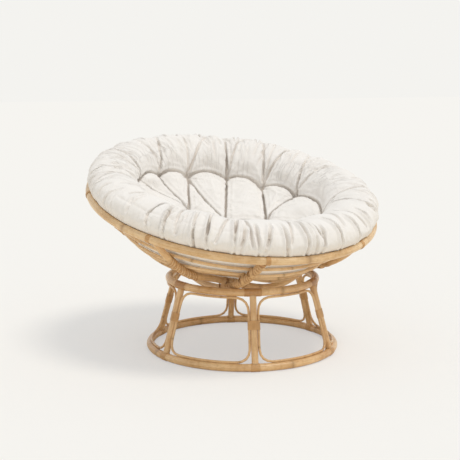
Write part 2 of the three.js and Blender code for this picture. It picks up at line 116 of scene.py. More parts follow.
camera = {
    "place": Vector((-1.856, -3.2841, 1.034)),
    "heading": (0.4897, 0.8719),
    "pitch": -9.02,
    "roll": 0.21,
    "lens": 77.87,
    "sensor": 36,
    "farthest": 100,
}


def addCamera():
    pitch = math.radians(camera["pitch"])
    level = math.cos(pitch)
    ahead = Vector((camera["heading"][0] * level, camera["heading"][1] * level, math.sin(pitch)))
    roll = Matrix.Rotation(math.radians(camera["roll"]), 3, "Z")
    bpy.ops.object.camera_add(location=camera["place"])
    cam = bpy.context.object
    cam.name = "camera"
    cam.rotation_euler = (ahead.to_track_quat("-Z", "Y").to_matrix() @ roll).to_euler()
    cam.data.lens = camera["lens"]
    cam.data.sensor_width = camera["sensor"]
    cam.data.clip_end = camera["farthest"]
    bpy.context.scene.camera = cam


class Tree:
    # short way to add nodes, set them and join them
    def __init__(self, tree):
        self.nodes, self.links = tree.nodes, tree.links

    def add(self, kind, inputs=None, **values):
        node = self.nodes.new(kind)
        setAll(node, values)
        self.fill(node, inputs or {})
        return node

    def fill(self, node, inputs):
        # each input is a number, a colour, a vector or another node's output
        for key, value in inputs.items():
            socket = node.inputs[key]
            if isinstance(value, bpy.types.NodeSocket):
                self.links.new(value, socket)
            else:
                socket.default_value = (*value, 1) if socket.type == "RGBA" else value

    def math(self, operation, *values):
        return self.add("ShaderNodeMath", dict(enumerate(values)), operation=operation).outputs["Value"]

    def times(self, first, *others):
        for other in others:
            first = self.math("MULTIPLY", first, other)
        return first

    def plus(self, first, *others):
        for other in others:
            first = self.math("ADD", first, other)
        return first

    def scaled(self, source, scale, shift=(0, 0, 0)):
        inputs = {"Vector": source, "Scale": scale, "Location": shift}
        return self.add("ShaderNodeMapping", inputs).outputs["Vector"]

    def noise(self, vector, scale, detail, rough=0.5):
        inputs = {"Vector": vector, "Scale": scale, "Detail": detail, "Roughness": rough}
        return self.add("ShaderNodeTexNoise", inputs).outputs["Fac"]

    def spread(self, value, low, high, toLow=0.0, toHigh=1.0):
        inputs = {"Value": value, "From Min": low, "From Max": high, "To Min": toLow, "To Max": toHigh}
        return self.add("ShaderNodeMapRange", inputs, interpolation_type="SMOOTHSTEP").outputs["Result"]

    def blend(self, factor, a, b):
        return self.add("ShaderNodeMix", {0: factor, 6: a, 7: b}, data_type="RGBA").outputs[2]

    def apart(self, vector):
        return self.add("ShaderNodeSeparateXYZ", {"Vector": vector}).outputs

    def toCamera(self, share, others, seen):
        # the camera sees another shader than the light that bounces round
        ray = self.add("ShaderNodeLightPath").outputs["Is Camera Ray"]
        inputs = {0: self.times(ray, share), 1: others, 2: seen}
        return self.add("ShaderNodeMixShader", inputs).outputs["Shader"]


def newMaterial(name):
    material = bpy.data.materials.new(name)
    material.use_nodes = True
    tree = Tree(material.node_tree)
    return material, tree, tree.nodes["Principled BSDF"]


studio = {
    "backdrop": (0.905, 0.896, 0.866),
    "worldStrength": 0.72,
    "worldColour": (0.965, 0.98, 1.0),
    "sunStrength": 1.20,
    "sunColour": (1.0, 0.985, 0.96),
    "sunFrom": Vector((0.24, -0.32, 1.0)),
    "sunSoftness": 20,
    "sunDistance": 4,
    "floorSize": 60,
    "floorPaint": (0.925, 0.868, 0.765),
    "floorGlow": 0.45,
    "floorGlowColour": (0.865, 0.90, 0.945),
}


def addStudio():
    world = bpy.data.worlds.new("studioWorld")
    bpy.context.scene.world = world
    world.use_nodes = True
    world.node_tree.nodes.clear()
    t = Tree(world.node_tree)
    backgrounds = ({"Color": studio["worldColour"], "Strength": studio["worldStrength"]},
                   {"Color": studio["backdrop"]})
    light, seen = (t.add("ShaderNodeBackground", inputs).outputs["Background"] for inputs in backgrounds)
    shown = t.toCamera(1.0, light, seen)
    t.add("ShaderNodeOutputWorld", {"Surface": shown})

    bpy.ops.object.light_add(type="SUN", location=studio["sunFrom"] * studio["sunDistance"])
    sun = bpy.context.object
    sun.name = "keySun"
    sun.rotation_euler = (-studio["sunFrom"]).to_track_quat("-Z", "Y").to_euler()
    sun.data.energy = studio["sunStrength"]
    sun.data.color = studio["sunColour"]
    sun.data.angle = math.radians(studio["sunSoftness"])

    bpy.ops.mesh.primitive_plane_add(size=studio["floorSize"], location=(0, 0, 0))
    floor = bpy.context.object
    floor.name = "studioFloor"
    floorPaint, t, paint = newMaterial("studioFloorPaint")
    t.fill(paint, {"Base Color": studio["floorPaint"], "Roughness": 1.0, "Specular IOR Level": 0.0})
    glow = t.add("ShaderNodeEmission", {"Color": studio["floorGlowColour"]})
    shown = t.toCamera(studio["floorGlow"], paint.outputs["BSDF"], glow.outputs["Emission"])
    t.fill(t.nodes["Material Output"], {"Surface": shown})
    floor.data.materials.append(floorPaint)


bpy.context.scene.view_settings.view_transform = "Standard"
addCamera()
addStudio()
print("camera, light and floor are set")


def newGroup(name, inputs, outputs):
    # inputs are given with their standard values, a colour or a number, and outputs with their kinds
    group = bpy.data.node_groups.new(name, "ShaderNodeTree")
    for label, value in inputs.items():
        kind = "NodeSocketColor" if isinstance(value, tuple) else "NodeSocketFloat"
        socket = group.interface.new_socket(name=label, in_out="INPUT", socket_type=kind)
        socket.default_value = (*value, 1) if isinstance(value, tuple) else value
    for label, kind in outputs.items():
        group.interface.new_socket(name=label, in_out="OUTPUT", socket_type=f"NodeSocket{kind}")
    return group, Tree(group), group.nodes.new("NodeGroupInput").outputs, group.nodes.new("NodeGroupOutput")


def makeCaneGrain():
    # long streaks, pores and knots of a rattan cane, laid along the piece's own "grain" attribute
    group, t, given, result = newGroup(
        "caneGrain",
        {"Pale": (0.8, 0.6, 0.4), "Deep": (0.5, 0.3, 0.1), "Knot": (0.3, 0.15, 0.05),
         "Streaks": 0.5, "Pores": 0.3},
        {"Colour": "Color", "Roughness": "Float", "Height": "Float"},
    )
    along = t.add("ShaderNodeAttribute", attribute_name="grain").outputs["Vector"]
    knot = t.add("ShaderNodeAttribute", attribute_name="knot").outputs["Fac"]
    place = t.add("ShaderNodeTexCoord").outputs["Object"]
    streak = t.spread(t.noise(t.scaled(along, (14, 620, 620)), 1.0, 4.0, 0.62), 0.32, 0.7)
    broad = t.spread(t.noise(place, 7.0, 2.0), 0.3, 0.72)
    pore = t.spread(t.noise(t.scaled(along, (160, 2600, 2600)), 1.0, 1.0), 0.6, 0.72)
    mottle = t.spread(t.noise(place, 55.0, 3.0, 0.6), 0.42, 0.75)
    tone = t.plus(t.times(streak, given["Streaks"]), t.times(broad, 0.5), t.times(mottle, 0.30))
    cane = t.blend(tone, given["Pale"], given["Deep"])
    marks = t.math("MAXIMUM", t.times(pore, given["Pores"]), t.times(knot, 0.62))
    t.fill(result, {
        "Colour": t.blend(marks, cane, given["Knot"]),
        "Roughness": t.plus(t.times(streak, 0.16), 0.32),
        "Height": t.math("SUBTRACT", t.times(streak, 0.5), t.times(pore, 0.6)),
    })
    return group


def makeCottonWeave():
    # fine plain weave with slubs, laid along the cushion's own cloth map
    group, t, given, result = newGroup(
        "cottonWeave",
        {"Cloth": (0.9, 0.9, 0.9), "Shade": (0.7, 0.7, 0.7), "Threads": 900.0},
        {"Colour": "Color", "Height": "Float", "Wrinkle": "Float"},
    )
    cloth = t.add("ShaderNodeUVMap", uv_map="cloth").outputs["UV"]
    place = t.add("ShaderNodeTexCoord").outputs["Object"]
    warp, weft = (t.math("SINE", t.times(t.apart(cloth)[axis], given["Threads"])) for axis in "XY")
    weave = t.times(t.plus(warp, weft), 0.25)
    slub = t.noise(t.scaled(cloth, (40, 420, 1)), 1.0, 2.0)
    cross = t.noise(t.scaled(cloth, (420, 40, 1), (3, 7, 0)), 1.0, 2.0)
    fibres = t.times(t.plus(slub, cross), 0.5)
    tone = t.plus(t.times(fibres, 0.55), t.times(t.noise(place, 16.0, 3.0, 0.6), 0.45))
    # fine wrinkles that run across the roll and fade out on the seat
    outward = t.add("ShaderNodeVectorMath", {0: cloth}, operation="LENGTH").outputs["Value"]
    turn = t.apart(t.add("ShaderNodeVectorMath", {0: cloth}, operation="NORMALIZE").outputs["Vector"])
    polar = {"X": t.times(turn["X"], 19.0), "Y": t.times(turn["Y"], 19.0), "Z": t.times(outward, 9.0)}
    across = t.noise(t.add("ShaderNodeCombineXYZ", polar).outputs["Vector"], 1.0, 1.5)
    loose = t.noise(place, 21.0, 1.5)
    ridges, cracks = (t.spread(t.math("ABSOLUTE", t.math("SUBTRACT", source, 0.5)), 0.0, narrow, 1.0, 0.0)
                      for source, narrow in ((across, 0.055), (loose, 0.030)))
    patches = t.spread(t.noise(place, 6.0, 1.0), 0.40, 0.62)
    reach = t.spread(outward, 0.26, 0.40, 0.12, 1.0)
    front = t.spread(turn["Y"], -0.9, -0.3, 0.25, 1.0)
    t.fill(result, {
        "Colour": t.blend(t.spread(tone, 0.4, 0.72), given["Cloth"], given["Shade"]),
        "Height": t.plus(weave, t.times(fibres, 1.4)),
        "Wrinkle": t.times(t.math("MAXIMUM", ridges, t.times(cracks, 0.3)), patches, reach, front),
    })
    return group


caneGrain = makeCaneGrain()
cottonWeave = makeCottonWeave()


def caneFinish(name, pale, deep, knot, streaks, pores):
    material, t, shader = newMaterial(name)
    inputs = {"Pale": pale, "Deep": deep, "Knot": knot, "Streaks": streaks, "Pores": pores}
    grain = t.add("ShaderNodeGroup", inputs, node_tree=caneGrain).outputs
    relief = t.add("ShaderNodeBump", {"Strength": 0.18, "Distance": 0.0006, "Height": grain["Height"]})
    t.fill(shader, {
        "Base Color": grain["Colour"], "Roughness": grain["Roughness"], "Normal": relief.outputs["Normal"],
        "Specular IOR Level": 0.5, "Coat Weight": 0.5, "Coat Roughness": 0.24,
    })
    return material


def clothFinish():
    material, t, shader = newMaterial("naturalCotton")
    inputs = {"Cloth": (0.885, 0.850, 0.802), "Shade": (0.845, 0.805, 0.752), "Threads": 3600.0}
    weave = t.add("ShaderNodeGroup", inputs, node_tree=cottonWeave).outputs
    wrinkles = {"Strength": 0.62, "Distance": 0.0045, "Height": weave["Wrinkle"]}
    wrinkled = t.add("ShaderNodeBump", wrinkles, invert=True).outputs["Normal"]
    relief = {"Strength": 0.25, "Distance": 0.0005, "Height": weave["Height"], "Normal": wrinkled}
    # painted shade: the fold mark and the fine wrinkle lines blend the cloth colour towards a warm brown
    # along seams, round tufts, in pleats and in wrinkles, where shade falls
    fold = t.add("ShaderNodeAttribute", attribute_name="fold").outputs["Fac"]
    paintedCreaseShade = t.math("MAXIMUM", t.times(fold, 0.40), t.times(weave["Wrinkle"], 0.12))
    t.fill(shader, {
        "Base Color": t.blend(paintedCreaseShade, weave["Colour"], (0.52, 0.385, 0.265)),
        "Normal": t.add("ShaderNodeBump", relief).outputs["Normal"],
        "Roughness": 0.92, "Specular IOR Level": 0.2, "Sheen Weight": 0.12, "Sheen Roughness": 0.5,
    })
    return material


poleCane = caneFinish("poleCane", (0.92, 0.64, 0.335), (0.56, 0.30, 0.105), (0.30, 0.14, 0.045), 0.5, 0.3)
rimCane = caneFinish("rimCane", (0.93, 0.69, 0.40), (0.60, 0.345, 0.13), (0.30, 0.14, 0.045), 0.5, 0.3)
rodCane = caneFinish("rodCane", (0.92, 0.66, 0.37), (0.58, 0.325, 0.12), (0.30, 0.14, 0.045), 0.45, 0.25)
peelBand = caneFinish("peelBand", (0.76, 0.455, 0.19), (0.50, 0.25, 0.075), (0.22, 0.10, 0.03), 0.6, 0.35)
# a darker peel for the top ring bindings, also used as painted shade in the gaps of the pole windings
darkPeelAndGapShade = caneFinish("darkPeelAndGapShade", (0.62, 0.33, 0.115), (0.42, 0.19, 0.055), (0.20, 0.09, 0.03), 0.6, 0.35)
paleLash = caneFinish("paleLash", (0.86, 0.60, 0.32), (0.60, 0.34, 0.13), (0.22, 0.10, 0.03), 0.6, 0.35)
naturalCotton = clothFinish()
print("finishes are made")


# from knot to knot in metres
knotSpacing = {
    "bottomRing": 0.55, "topRing": 0.58, "post": (0.30, 0.32, 0.34), "bayLoop": 0.33,
    "rimHoop": 0.68, "outerPole": 0.49, "innerPole": 0.52, "hoop": 0.38,
}

knots = {
    # share of a length, and how far it swells there as a share of the knot's size
    "start": [(0.0, 1.0), (0.012, 0.8), (0.03, 0.0)],
    "end": [(0.97, 0.0), (0.984, -0.55), (0.992, 0.6), (1.0, 1.0)],
    "waist": 0.25,
    "reach": 0.035,
    "size": 0.03,
}


def tubeStart(name, sides, radius):
    # a ring of points that faces along X, left in edit mode
    bpy.ops.object.select_all(action="DESELECT")
    bpy.ops.mesh.primitive_circle_add(vertices=sides, radius=radius, rotation=(0, math.pi / 2, 0))
    piece = bpy.context.object
    piece.name = name
    bpy.ops.object.transform_apply(location=False, rotation=True, scale=False)
    bpy.ops.object.mode_set(mode="EDIT")
    bpy.ops.mesh.select_all(action="SELECT")
    return piece


def extrudeAlong(distance):
    bpy.ops.mesh.extrude_region_move(TRANSFORM_OT_translate={"value": (distance, 0, 0)})


def caneLength(name, radius, length, sides, rings):
    # a straight length along X with a knot at each end
    knotty, firstAt = knots["size"], knots["start"][-1][0]
    between = knots["end"][0][0] - firstAt
    stops = [(at, 1 + knotty * bulge) for at, bulge in knots["start"]]
    stops += [(firstAt + between * k / rings, 1 - knotty * knots["waist"] * math.sin(math.pi * k / rings))
              for k in range(1, rings)]
    stops += [(at, 1 + knotty * bulge) for at, bulge in knots["end"]]
    piece = tubeStart(name, sides, radius * stops[0][1])
    for (fromX, fromSize), (toX, toSize) in zip(stops, stops[1:]):
        extrudeAlong((toX - fromX) * length)
        size = toSize / fromSize
        bpy.ops.transform.resize(value=(1, size, size), center_override=(toX * length, 0, 0))
    bpy.ops.object.mode_set(mode="OBJECT")
    keepGrain(piece, length, knots["reach"])
    return piece


def strandLength(name, width, thickness, length, rings):
    # a straight flat strand of peel along X, its width on Z
    piece = tubeStart(name, 8, 0.5)
    bpy.ops.transform.resize(value=(1, thickness, width), center_override=(0, 0, 0))
    for _ in range(rings):
        extrudeAlong(length / rings)
    bpy.ops.object.mode_set(mode="OBJECT")
    keepGrain(piece, length, 0.0)
    return piece


def readSpots(piece, what="co"):
    # the places of the points, or their normals
    values = np.empty(len(piece.data.vertices) * 3)
    piece.data.vertices.foreach_get(what, values)
    return values.reshape(-1, 3)


def setSpots(piece, spots):
    piece.data.vertices.foreach_set("co", spots.ravel())
    piece.data.update()


def mark(piece, name, values):
    # keeps one number or one place for each point
    kind, what = ("FLOAT", "value") if values.ndim == 1 else ("FLOAT_VECTOR", "vector")
    piece.data.attributes.new(name, kind, "POINT").data.foreach_set(what, values.ravel())


def readMark(piece, name, size):
    values = np.empty(len(piece.data.vertices) * size)
    piece.data.attributes[name].data.foreach_get("value" if size == 1 else "vector", values)
    return values if size == 1 else values.reshape(-1, size)


def keepGrain(piece, length, knotShare):
    # remembers the straight cane's own coordinates, for the grain, and how near each place is to a knot
    straight = readSpots(piece)
    mark(piece, "grain", straight)
    share = straight[:, 0] / length
    near = np.minimum(np.abs(share), np.abs(1 - share))
    mark(piece, "knot", np.clip(1 - near / knotShare, 0, 1) ** 2 if knotShare else near * 0)


# how near points merge, and the spacing of the rings along a cane and a strand
joins = {"lengths": 0.0002, "closing": 0.0012, "caneRing": 0.018, "peelRing": 0.004}


def guidePath(points, closed, flat=False):
    curve = bpy.data.curves.new("guide", "CURVE")
    curve.dimensions = "2D" if flat else "3D"
    spline = curve.splines.new("POLY")
    spline.points.add(len(points) - 1)
    for spot, point in zip(spline.points, points):
        spot.co = (*point, 1)
    spline.use_cyclic_u = closed
    path = bpy.data.objects.new("guide", curve)
    bpy.context.scene.collection.objects.link(path)
    return path


def pathLength(points, closed):
    ends = list(points[1:]) + ([points[0]] if closed else [])
    return sum((b - a).length for a, b in zip(points, ends))


def turnOutward():
    # all faces of the piece in edit mode look outward, and edit mode ends
    bpy.ops.mesh.select_all(action="SELECT")
    bpy.ops.mesh.normals_make_consistent(inside=False)
    bpy.ops.object.mode_set(mode="OBJECT")


def bendAlong(piece, points, count, closed, flat=False):
    path = guidePath(points, closed, flat)
    only(piece)
    if count > 1:
        setAll(piece.modifiers.new("repeat", "ARRAY"),
               {"count": count, "use_merge_vertices": True, "merge_threshold": joins["lengths"]})
    piece.modifiers.new("bend", "CURVE").object = path
    applyAll(piece)
    bpy.data.objects.remove(path)
    bpy.ops.object.mode_set(mode="EDIT")
    if closed:
        bpy.ops.mesh.select_all(action="DESELECT")
        bpy.ops.mesh.select_non_manifold()
        bpy.ops.mesh.remove_doubles(threshold=joins["closing"])
    else:
        bpy.ops.mesh.select_all(action="SELECT")
        bpy.ops.mesh.fill_holes(sides=0)
    turnOutward()


# size of the bumps in metres, and their height as a share of the radius or the thickness
unevenness = {"cane": 0.06, "caneShare": 0.07, "peel": 0.004, "peelShare": 0.5}
smoothAngle = math.radians(50)


def roughen(piece, size, depth):
    # slight unevenness of a natural cane
    clouds = bpy.data.textures.get("caneClouds") or bpy.data.textures.new("caneClouds", "CLOUDS")
    clouds.noise_scale = size
    setAll(piece.modifiers.new("uneven", "DISPLACE"),
           {"texture": clouds, "texture_coords": "LOCAL", "strength": depth})
    applyAll(piece)


def finishPiece(piece, material, body):
    only(piece)
    bpy.ops.object.shade_smooth_by_angle(angle=smoothAngle)
    piece.data.materials.clear()
    piece.data.materials.append(material)
    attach(piece, body)


def makeCane(name, node, points, radius, closed, between, sides=20, body="stand", material=poleCane):
    length = pathLength(points, closed)
    count = max(1, round(length / between))
    step = length / count
    rings = max(6, round(step / joins["caneRing"]))
    piece = caneLength(name, radius, step, sides, rings)
    bendAlong(piece, points, count, closed)
    roughen(piece, unevenness["cane"], radius * unevenness["caneShare"])
    finishPiece(piece, material, body)
    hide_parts(node)
    return piece


def windPeel(name, outline, matrix, strands, strand, thickness, body, material, node=None, slant=0.0,
             full=0.96):
    # strands of peel side by side round a closed outline in the XY plane of matrix, stacked along its Z
    length = pathLength(outline, True)
    piece = strandLength(name, strand * full, thickness, length, max(12, round(length / joins["peelRing"])))
    bendAlong(piece, outline, 1, True, flat=True)
    piece.location.z = -strand * (strands - 1) / 2
    bpy.ops.object.transform_apply(location=True, rotation=False, scale=False)
    if strands > 1:
        setAll(piece.modifiers.new("stack", "ARRAY"),
               {"use_relative_offset": False, "use_constant_offset": True,
                "constant_offset_displace": (0, 0, strand), "count": strands})
        applyAll(piece)
    if slant:
        lean = Matrix.Identity(4)
        lean[2][0] = slant
        piece.data.transform(lean)
    piece.data.transform(matrix)
    roughen(piece, unevenness["peel"], thickness * unevenness["peelShare"])
    finishPiece(piece, material, body)
    if node:
        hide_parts(node)
    return piece


def circleOutline(radius, steps):
    turns = [2 * math.pi * k / steps for k in range(steps)]
    return [Vector((radius * math.cos(turn), radius * math.sin(turn), 0)) for turn in turns]


def levelRing(radius, height, steps=96):
    middle = standCentre + Vector((0, 0, height))
    return [middle + heading(360 * k / steps) * radius for k in range(steps)]


def postAzimuth(k):
    return stand["firstPost"] + 60 * k


def postEnds(k):
    out = heading(postAzimuth(k))
    foot = standCentre + out * stand["bottomRadius"] + Vector((0, 0, stand["bottomHeight"]))
    head = standCentre + out * stand["topRadius"] + Vector((0, 0, stand["topHeight"]))
    return foot, head


standRise = stand["topHeight"] - stand["bottomHeight"]
standIn = stand["bottomRadius"] - stand["topRadius"]
slantLength = math.hypot(standIn, standRise)


def slantRadius(up):
    return stand["bottomRadius"] - standIn * up / slantLength


def slantNormal(degrees):
    return heading(degrees) * (standRise / slantLength) + Vector((0, 0, standIn / slantLength))


def loopPoints(k):
    # a closed rounded frame that fills the bay after post k, laid on the slant of the posts
    side = stand["post"] + stand["loopRod"] + stand["clearance"]
    low = stand["ringPole"] + stand["loopRod"] + stand["clearance"]
    high = slantLength - low
    wide, narrow = (slantRadius(up) * math.pi / 6 - side for up in (low, high))
    corners = [Vector((x, y, 0)) for x, y in ((-wide, low), (wide, low), (narrow, high), (-narrow, high))]
    flat = []
    for n, corner in enumerate(corners):
        before, after = corners[n - 1], corners[(n + 1) % 4]
        share = stand["loopCorner"] / (corner - after).length
        enter = corner.lerp(before, stand["loopCorner"] / (corner - before).length)
        leave, nextEnter = corner.lerp(after, share), after.lerp(corner, share)
        for t in (step / 8 for step in range(9)):
            flat.append(enter * (1 - t) ** 2 + corner * 2 * t * (1 - t) + leave * t ** 2)
        flat += [leave.lerp(nextEnter, step / 8) for step in range(1, 8)]
    middle = stand["firstPost"] + 30 + 60 * k
    points = []
    for spot in flat:
        azimuth = middle + math.degrees(spot.x / slantRadius(spot.y))
        height = stand["bottomHeight"] + standRise * spot.y / slantLength
        points.append(standCentre + heading(azimuth) * slantRadius(spot.y) + Vector((0, 0, height)))
    return points


def hullOutline(rods, grow):
    # a strap drawn tight round several rods that lie side by side
    points = []
    for aim in circleOutline(1, 48):
        middle, radius = max(rods, key=lambda rod: rod[0].dot(aim) + rod[1])
        points.append(middle + aim * (radius + grow))
    return points


def evenOutline(points, spacing):
    # the same closed outline with evenly spaced points
    total = pathLength(points, True)
    count = max(24, round(total / spacing))
    result, walked, edge = [], 0.0, 0
    ring = points + [points[0]]
    for k in range(count):
        want = total * k / count
        while walked + (ring[edge + 1] - ring[edge]).length < want:
            walked += (ring[edge + 1] - ring[edge]).length
            edge += 1
        share = (want - walked) / max((ring[edge + 1] - ring[edge]).length, 1e-9)
        result.append(ring[edge].lerp(ring[edge + 1], share))
    return result


standBindings = {
    "strand": 0.0046,
    "thickness": 0.0015,
    "ringPeel": 0.0010,
    "ringGap": 0.0002,
    "postWidth": 0.034,
    "postShare": 0.56,
    "topWidth": 0.060,
    "bottomWidth": 0.033,
    "outlineStep": 0.003,
    "floorGap": 0.0002,
}


def makeStand():
    ring = stand["ringPole"]
    bottom = levelRing(stand["bottomRadius"], ring)
    keepOffFloor(makeCane("bottomRing", "bottom_ring", bottom, ring, True, knotSpacing["bottomRing"]))
    top = levelRing(stand["topRadius"], stand["topHeight"])
    makeCane("topRing", "top_ring", top, ring, True, knotSpacing["topRing"])
    sunk = ring - stand["sunk"]
    for k in range(stand["posts"]):
        foot, head = postEnds(k)
        along = (head - foot).normalized()
        a, b = foot + along * sunk, head - along * sunk
        line = [a.lerp(b, n / 12) for n in range(13)]
        makeCane(f"post{k + 1}", f"post_{k + 1}", line, stand["post"], False, knotSpacing["post"][k % 3])
        makeCane(f"bayLoop{k + 1}", f"bay_loop_{k + 1}", loopPoints(k), stand["loopRod"], True,
                 knotSpacing["bayLoop"], sides=12)
    print("stand canes are made")


def postOutline():
    # drawn tight round a post and the two loops beside it
    side = stand["post"] + stand["loopRod"] + stand["clearance"]
    reach = slantRadius(slantLength * standBindings["postShare"])
    turn = side / reach
    back = -reach * (1 - math.cos(turn))
    rods = [(Vector((0, 0, 0)), stand["post"])]
    rods += [(Vector((way * math.sin(turn), back, 0)), stand["loopRod"]) for way in (reach, -reach)]
    grow = stand["clearance"] + standBindings["thickness"] / 2
    return evenOutline(hullOutline(rods, grow), standBindings["outlineStep"])


def makeStandBindings():
    strand, thickness, ringPeel = (standBindings[key] for key in ("strand", "thickness", "ringPeel"))
    outline = postOutline()
    band = circleOutline(stand["ringPole"] + standBindings["ringGap"] + ringPeel / 2, 32)
    for k in range(stand["posts"]):
        foot, head = postEnds(k)
        azimuth = postAzimuth(k)
        out, ringTurn = heading(azimuth), heading(azimuth + 90)
        place = Matrix((ringTurn, slantNormal(azimuth), (head - foot).normalized())).transposed().to_4x4()
        place = Matrix.Translation(foot.lerp(head, standBindings["postShare"])) @ place
        if place.determinant() < 0:
            place = place @ Matrix.Scale(-1, 4, (1, 0, 0))
        windPeel(f"postBinding{k + 1}", outline, place, round(standBindings["postWidth"] / strand), strand,
                 thickness, "stand", peelBand, f"post_binding_{k + 1}")
        rings = (("top", stand["topHeight"], darkPeelAndGapShade), ("bottom", stand["ringPole"], peelBand))
        for end, height, peel in rings:
            radius = stand[f"{end}Radius"]
            middle = standCentre + out * radius + Vector((0, 0, height))
            piece = windPeel(f"{end}Binding{k + 1}", band, frameOf(middle, out, ringTurn),
                             round(standBindings[f"{end}Width"] / strand), strand, ringPeel, "stand", peel,
                             f"{end}_binding_{k + 1}")
            curveBand(piece, radius, azimuth)
            keepOffFloor(piece)
    print("stand bindings are wound")


def keepOffFloor(piece):
    # the underside of a ring lies flat on the floor
    for vertex in piece.data.vertices:
        vertex.co.z = max(vertex.co.z, standBindings["floorGap"])


def curveBand(piece, radius, degrees):
    # bends a straight stack of strands round the ring that it holds
    out, turn = np.array(heading(degrees)), np.array(heading(degrees + 90))
    spots = readSpots(piece) - np.array(standCentre)
    away, along = spots @ out, spots @ turn
    angle = along / radius
    moved = spots + np.outer(away * np.cos(angle) - away, out) + np.outer(away * np.sin(angle) - along, turn)
    setSpots(piece, moved + np.array(standCentre))


makeStand()
makeStandBindings()


def underBowl(x, y, radius):
    return Vector((x, y, -math.sqrt(radius ** 2 - x ** 2 - y ** 2))).normalized()


poleMiddle = bowl["sphere"] - bowl["pole"] * math.cos(math.pi / 8)
hoopMiddle = poleMiddle - bowl["poleToHoop"] - bowl["hoopGap"]
crossings = [underBowl(x, y, poleMiddle) for x in bowl["polesX"] for y in bowl["polesY"]]
bowlTurn = bowl["matrix"].to_3x3()


def nearCrossing(direction):
    best = 0.0
    for crossing in crossings:
        away = poleMiddle * direction.angle(crossing)
        share = min(max((away - bowl["crossingSeat"]) / (bowl["crossingReach"] - bowl["crossingSeat"]), 0), 1)
        best = max(best, (1 + math.cos(math.pi * share)) / 2)
    return best


def bowlPoint(direction, radius, dip):
    return bowl["matrix"] @ (direction * (radius - dip * nearCrossing(direction)))


def polePoints(offset, alongY, dip, steps=90):
    arc = math.sqrt(poleMiddle ** 2 - offset ** 2)
    end = math.acos(poleMiddle * bowl["rimDrop"] / bowl["sphere"] / arc) - bowl["poleShort"] / poleMiddle
    points = []
    for k in range(steps + 1):
        angle = -end + 2 * end * k / steps
        side, drop = arc * math.sin(angle), -arc * math.cos(angle)
        spot = Vector((offset, side, drop)) if alongY else Vector((side, offset, drop))
        points.append(bowlPoint(spot.normalized(), poleMiddle, dip))
    return points


def hoopWay(radius, degrees):
    # from the centre of the sphere to a place on a hoop
    out = heading(degrees) * radius
    return underBowl(out.x, out.y, hoopMiddle)


def hoopPoints(radius, steps=120):
    return [bowlPoint(hoopWay(radius, 360 * k / steps), hoopMiddle, bowl["hoopDip"]) for k in range(steps)]


def rimSpot(degrees):
    return bowl["matrix"] @ (heading(degrees) * bowl["rimRadius"] - Vector((0, 0, bowl["rimDrop"])))


def makeBowl():
    rim = [rimSpot(360 * k / 128) for k in range(128)]
    makeCane("rimHoop", "rim_hoop", rim, bowl["rimPole"], True, knotSpacing["rimHoop"], body="bowl",
             material=rimCane)
    for label, offsets, alongY in (("outer", bowl["polesX"], True), ("inner", bowl["polesY"], False)):
        for k, offset in enumerate(offsets):
            points = polePoints(offset, alongY, bowl[f"{label}Dip"])
            makeCane(f"{label}Pole{k + 1}", f"{label}_pole_{k + 1}", points, bowl["pole"], False,
                     knotSpacing[f"{label}Pole"], body="bowl")
    for k, radius in enumerate(bowl["hoopRadii"]):
        makeCane(f"hoop{k + 1}", f"hoop_{k + 1}", hoopPoints(radius), bowl["hoopRod"], True,
                 knotSpacing["hoop"], sides=12, body="bowl", material=rodCane)
    print("bowl canes are made")


bowlBindings = {
    "strand": 0.0042,
    "thickness": 0.0014,
    "clearance": 0.0003,
    "rimWidth": 0.017,
    "hoopWidth": 0.040,
    "hoopAzimuths": (151.1, 147.8, 145.0, -31.6),
    "outlineStep": 0.0035,
    # half the height between the middles of two crossed poles
    "halfCrossing": 0.0121,
    "crossingDrop": 0.01155,
    "crossing": (5, 0.0036),
    "hoopLash": (3, 0.0030),
    # a hoop is lashed to a pole where it is no farther off, and where they cross no flatter
    "lashReach": 0.030,
    "lashFlat": 0.72,
}
lashGrow = bowlBindings["clearance"] + bowlBindings["thickness"] / 2


def tightOutline(canes):
    # drawn tight round two crossed canes: height, half width and half thickness where the winding cuts each
    points = []
    for aim in circleOutline(1, 40):
        spots = []
        for height, across, thick in canes:
            size = math.hypot(across * aim.x, thick * aim.y)
            spots.append(Vector((across ** 2 * aim.x / size, height + thick ** 2 * aim.y / size, 0)))
        points.append(max(spots, key=lambda spot: spot.dot(aim)))
    return points


def lash(name, middle, inward, ways, canes, strands, strand):
    # two crossed windings that hold two canes together; ways are the directions of the canes
    outline = evenOutline(tightOutline(canes), bowlBindings["outlineStep"])
    done = []
    for label, diagonal in zip("ab", ((ways[0] + ways[1]).normalized(), (ways[0] - ways[1]).normalized())):
        place = Matrix((diagonal, inward, diagonal.cross(inward).normalized())).transposed().to_4x4()
        place.translation = middle
        if place.determinant() < 0:
            place = place @ Matrix.Scale(-1, 4, (0, 0, 1))
        done.append(windPeel(name + label, outline, place, strands, strand, bowlBindings["thickness"], "bowl",
                             paleLash))
    return done


def crossingLoops(low, high, upperRadius):
    # where the two canes of a crossing lie along the inward line, with their sizes on the diagonal
    return [(height, radius * math.sqrt(2) + lashGrow, radius + lashGrow)
            for height, radius in ((low, bowl["pole"]), (high, upperRadius))]


def ringBinding(label, k, radius, sides, place, peel):
    strand = bowlBindings["strand"]
    windPeel(f"{label}Binding{k + 1}", circleOutline(radius + lashGrow, sides), place,
             round(bowlBindings[f"{label}Width"] / strand), strand, bowlBindings["thickness"], "bowl", peel,
             f"{label}_binding_{k + 1}")


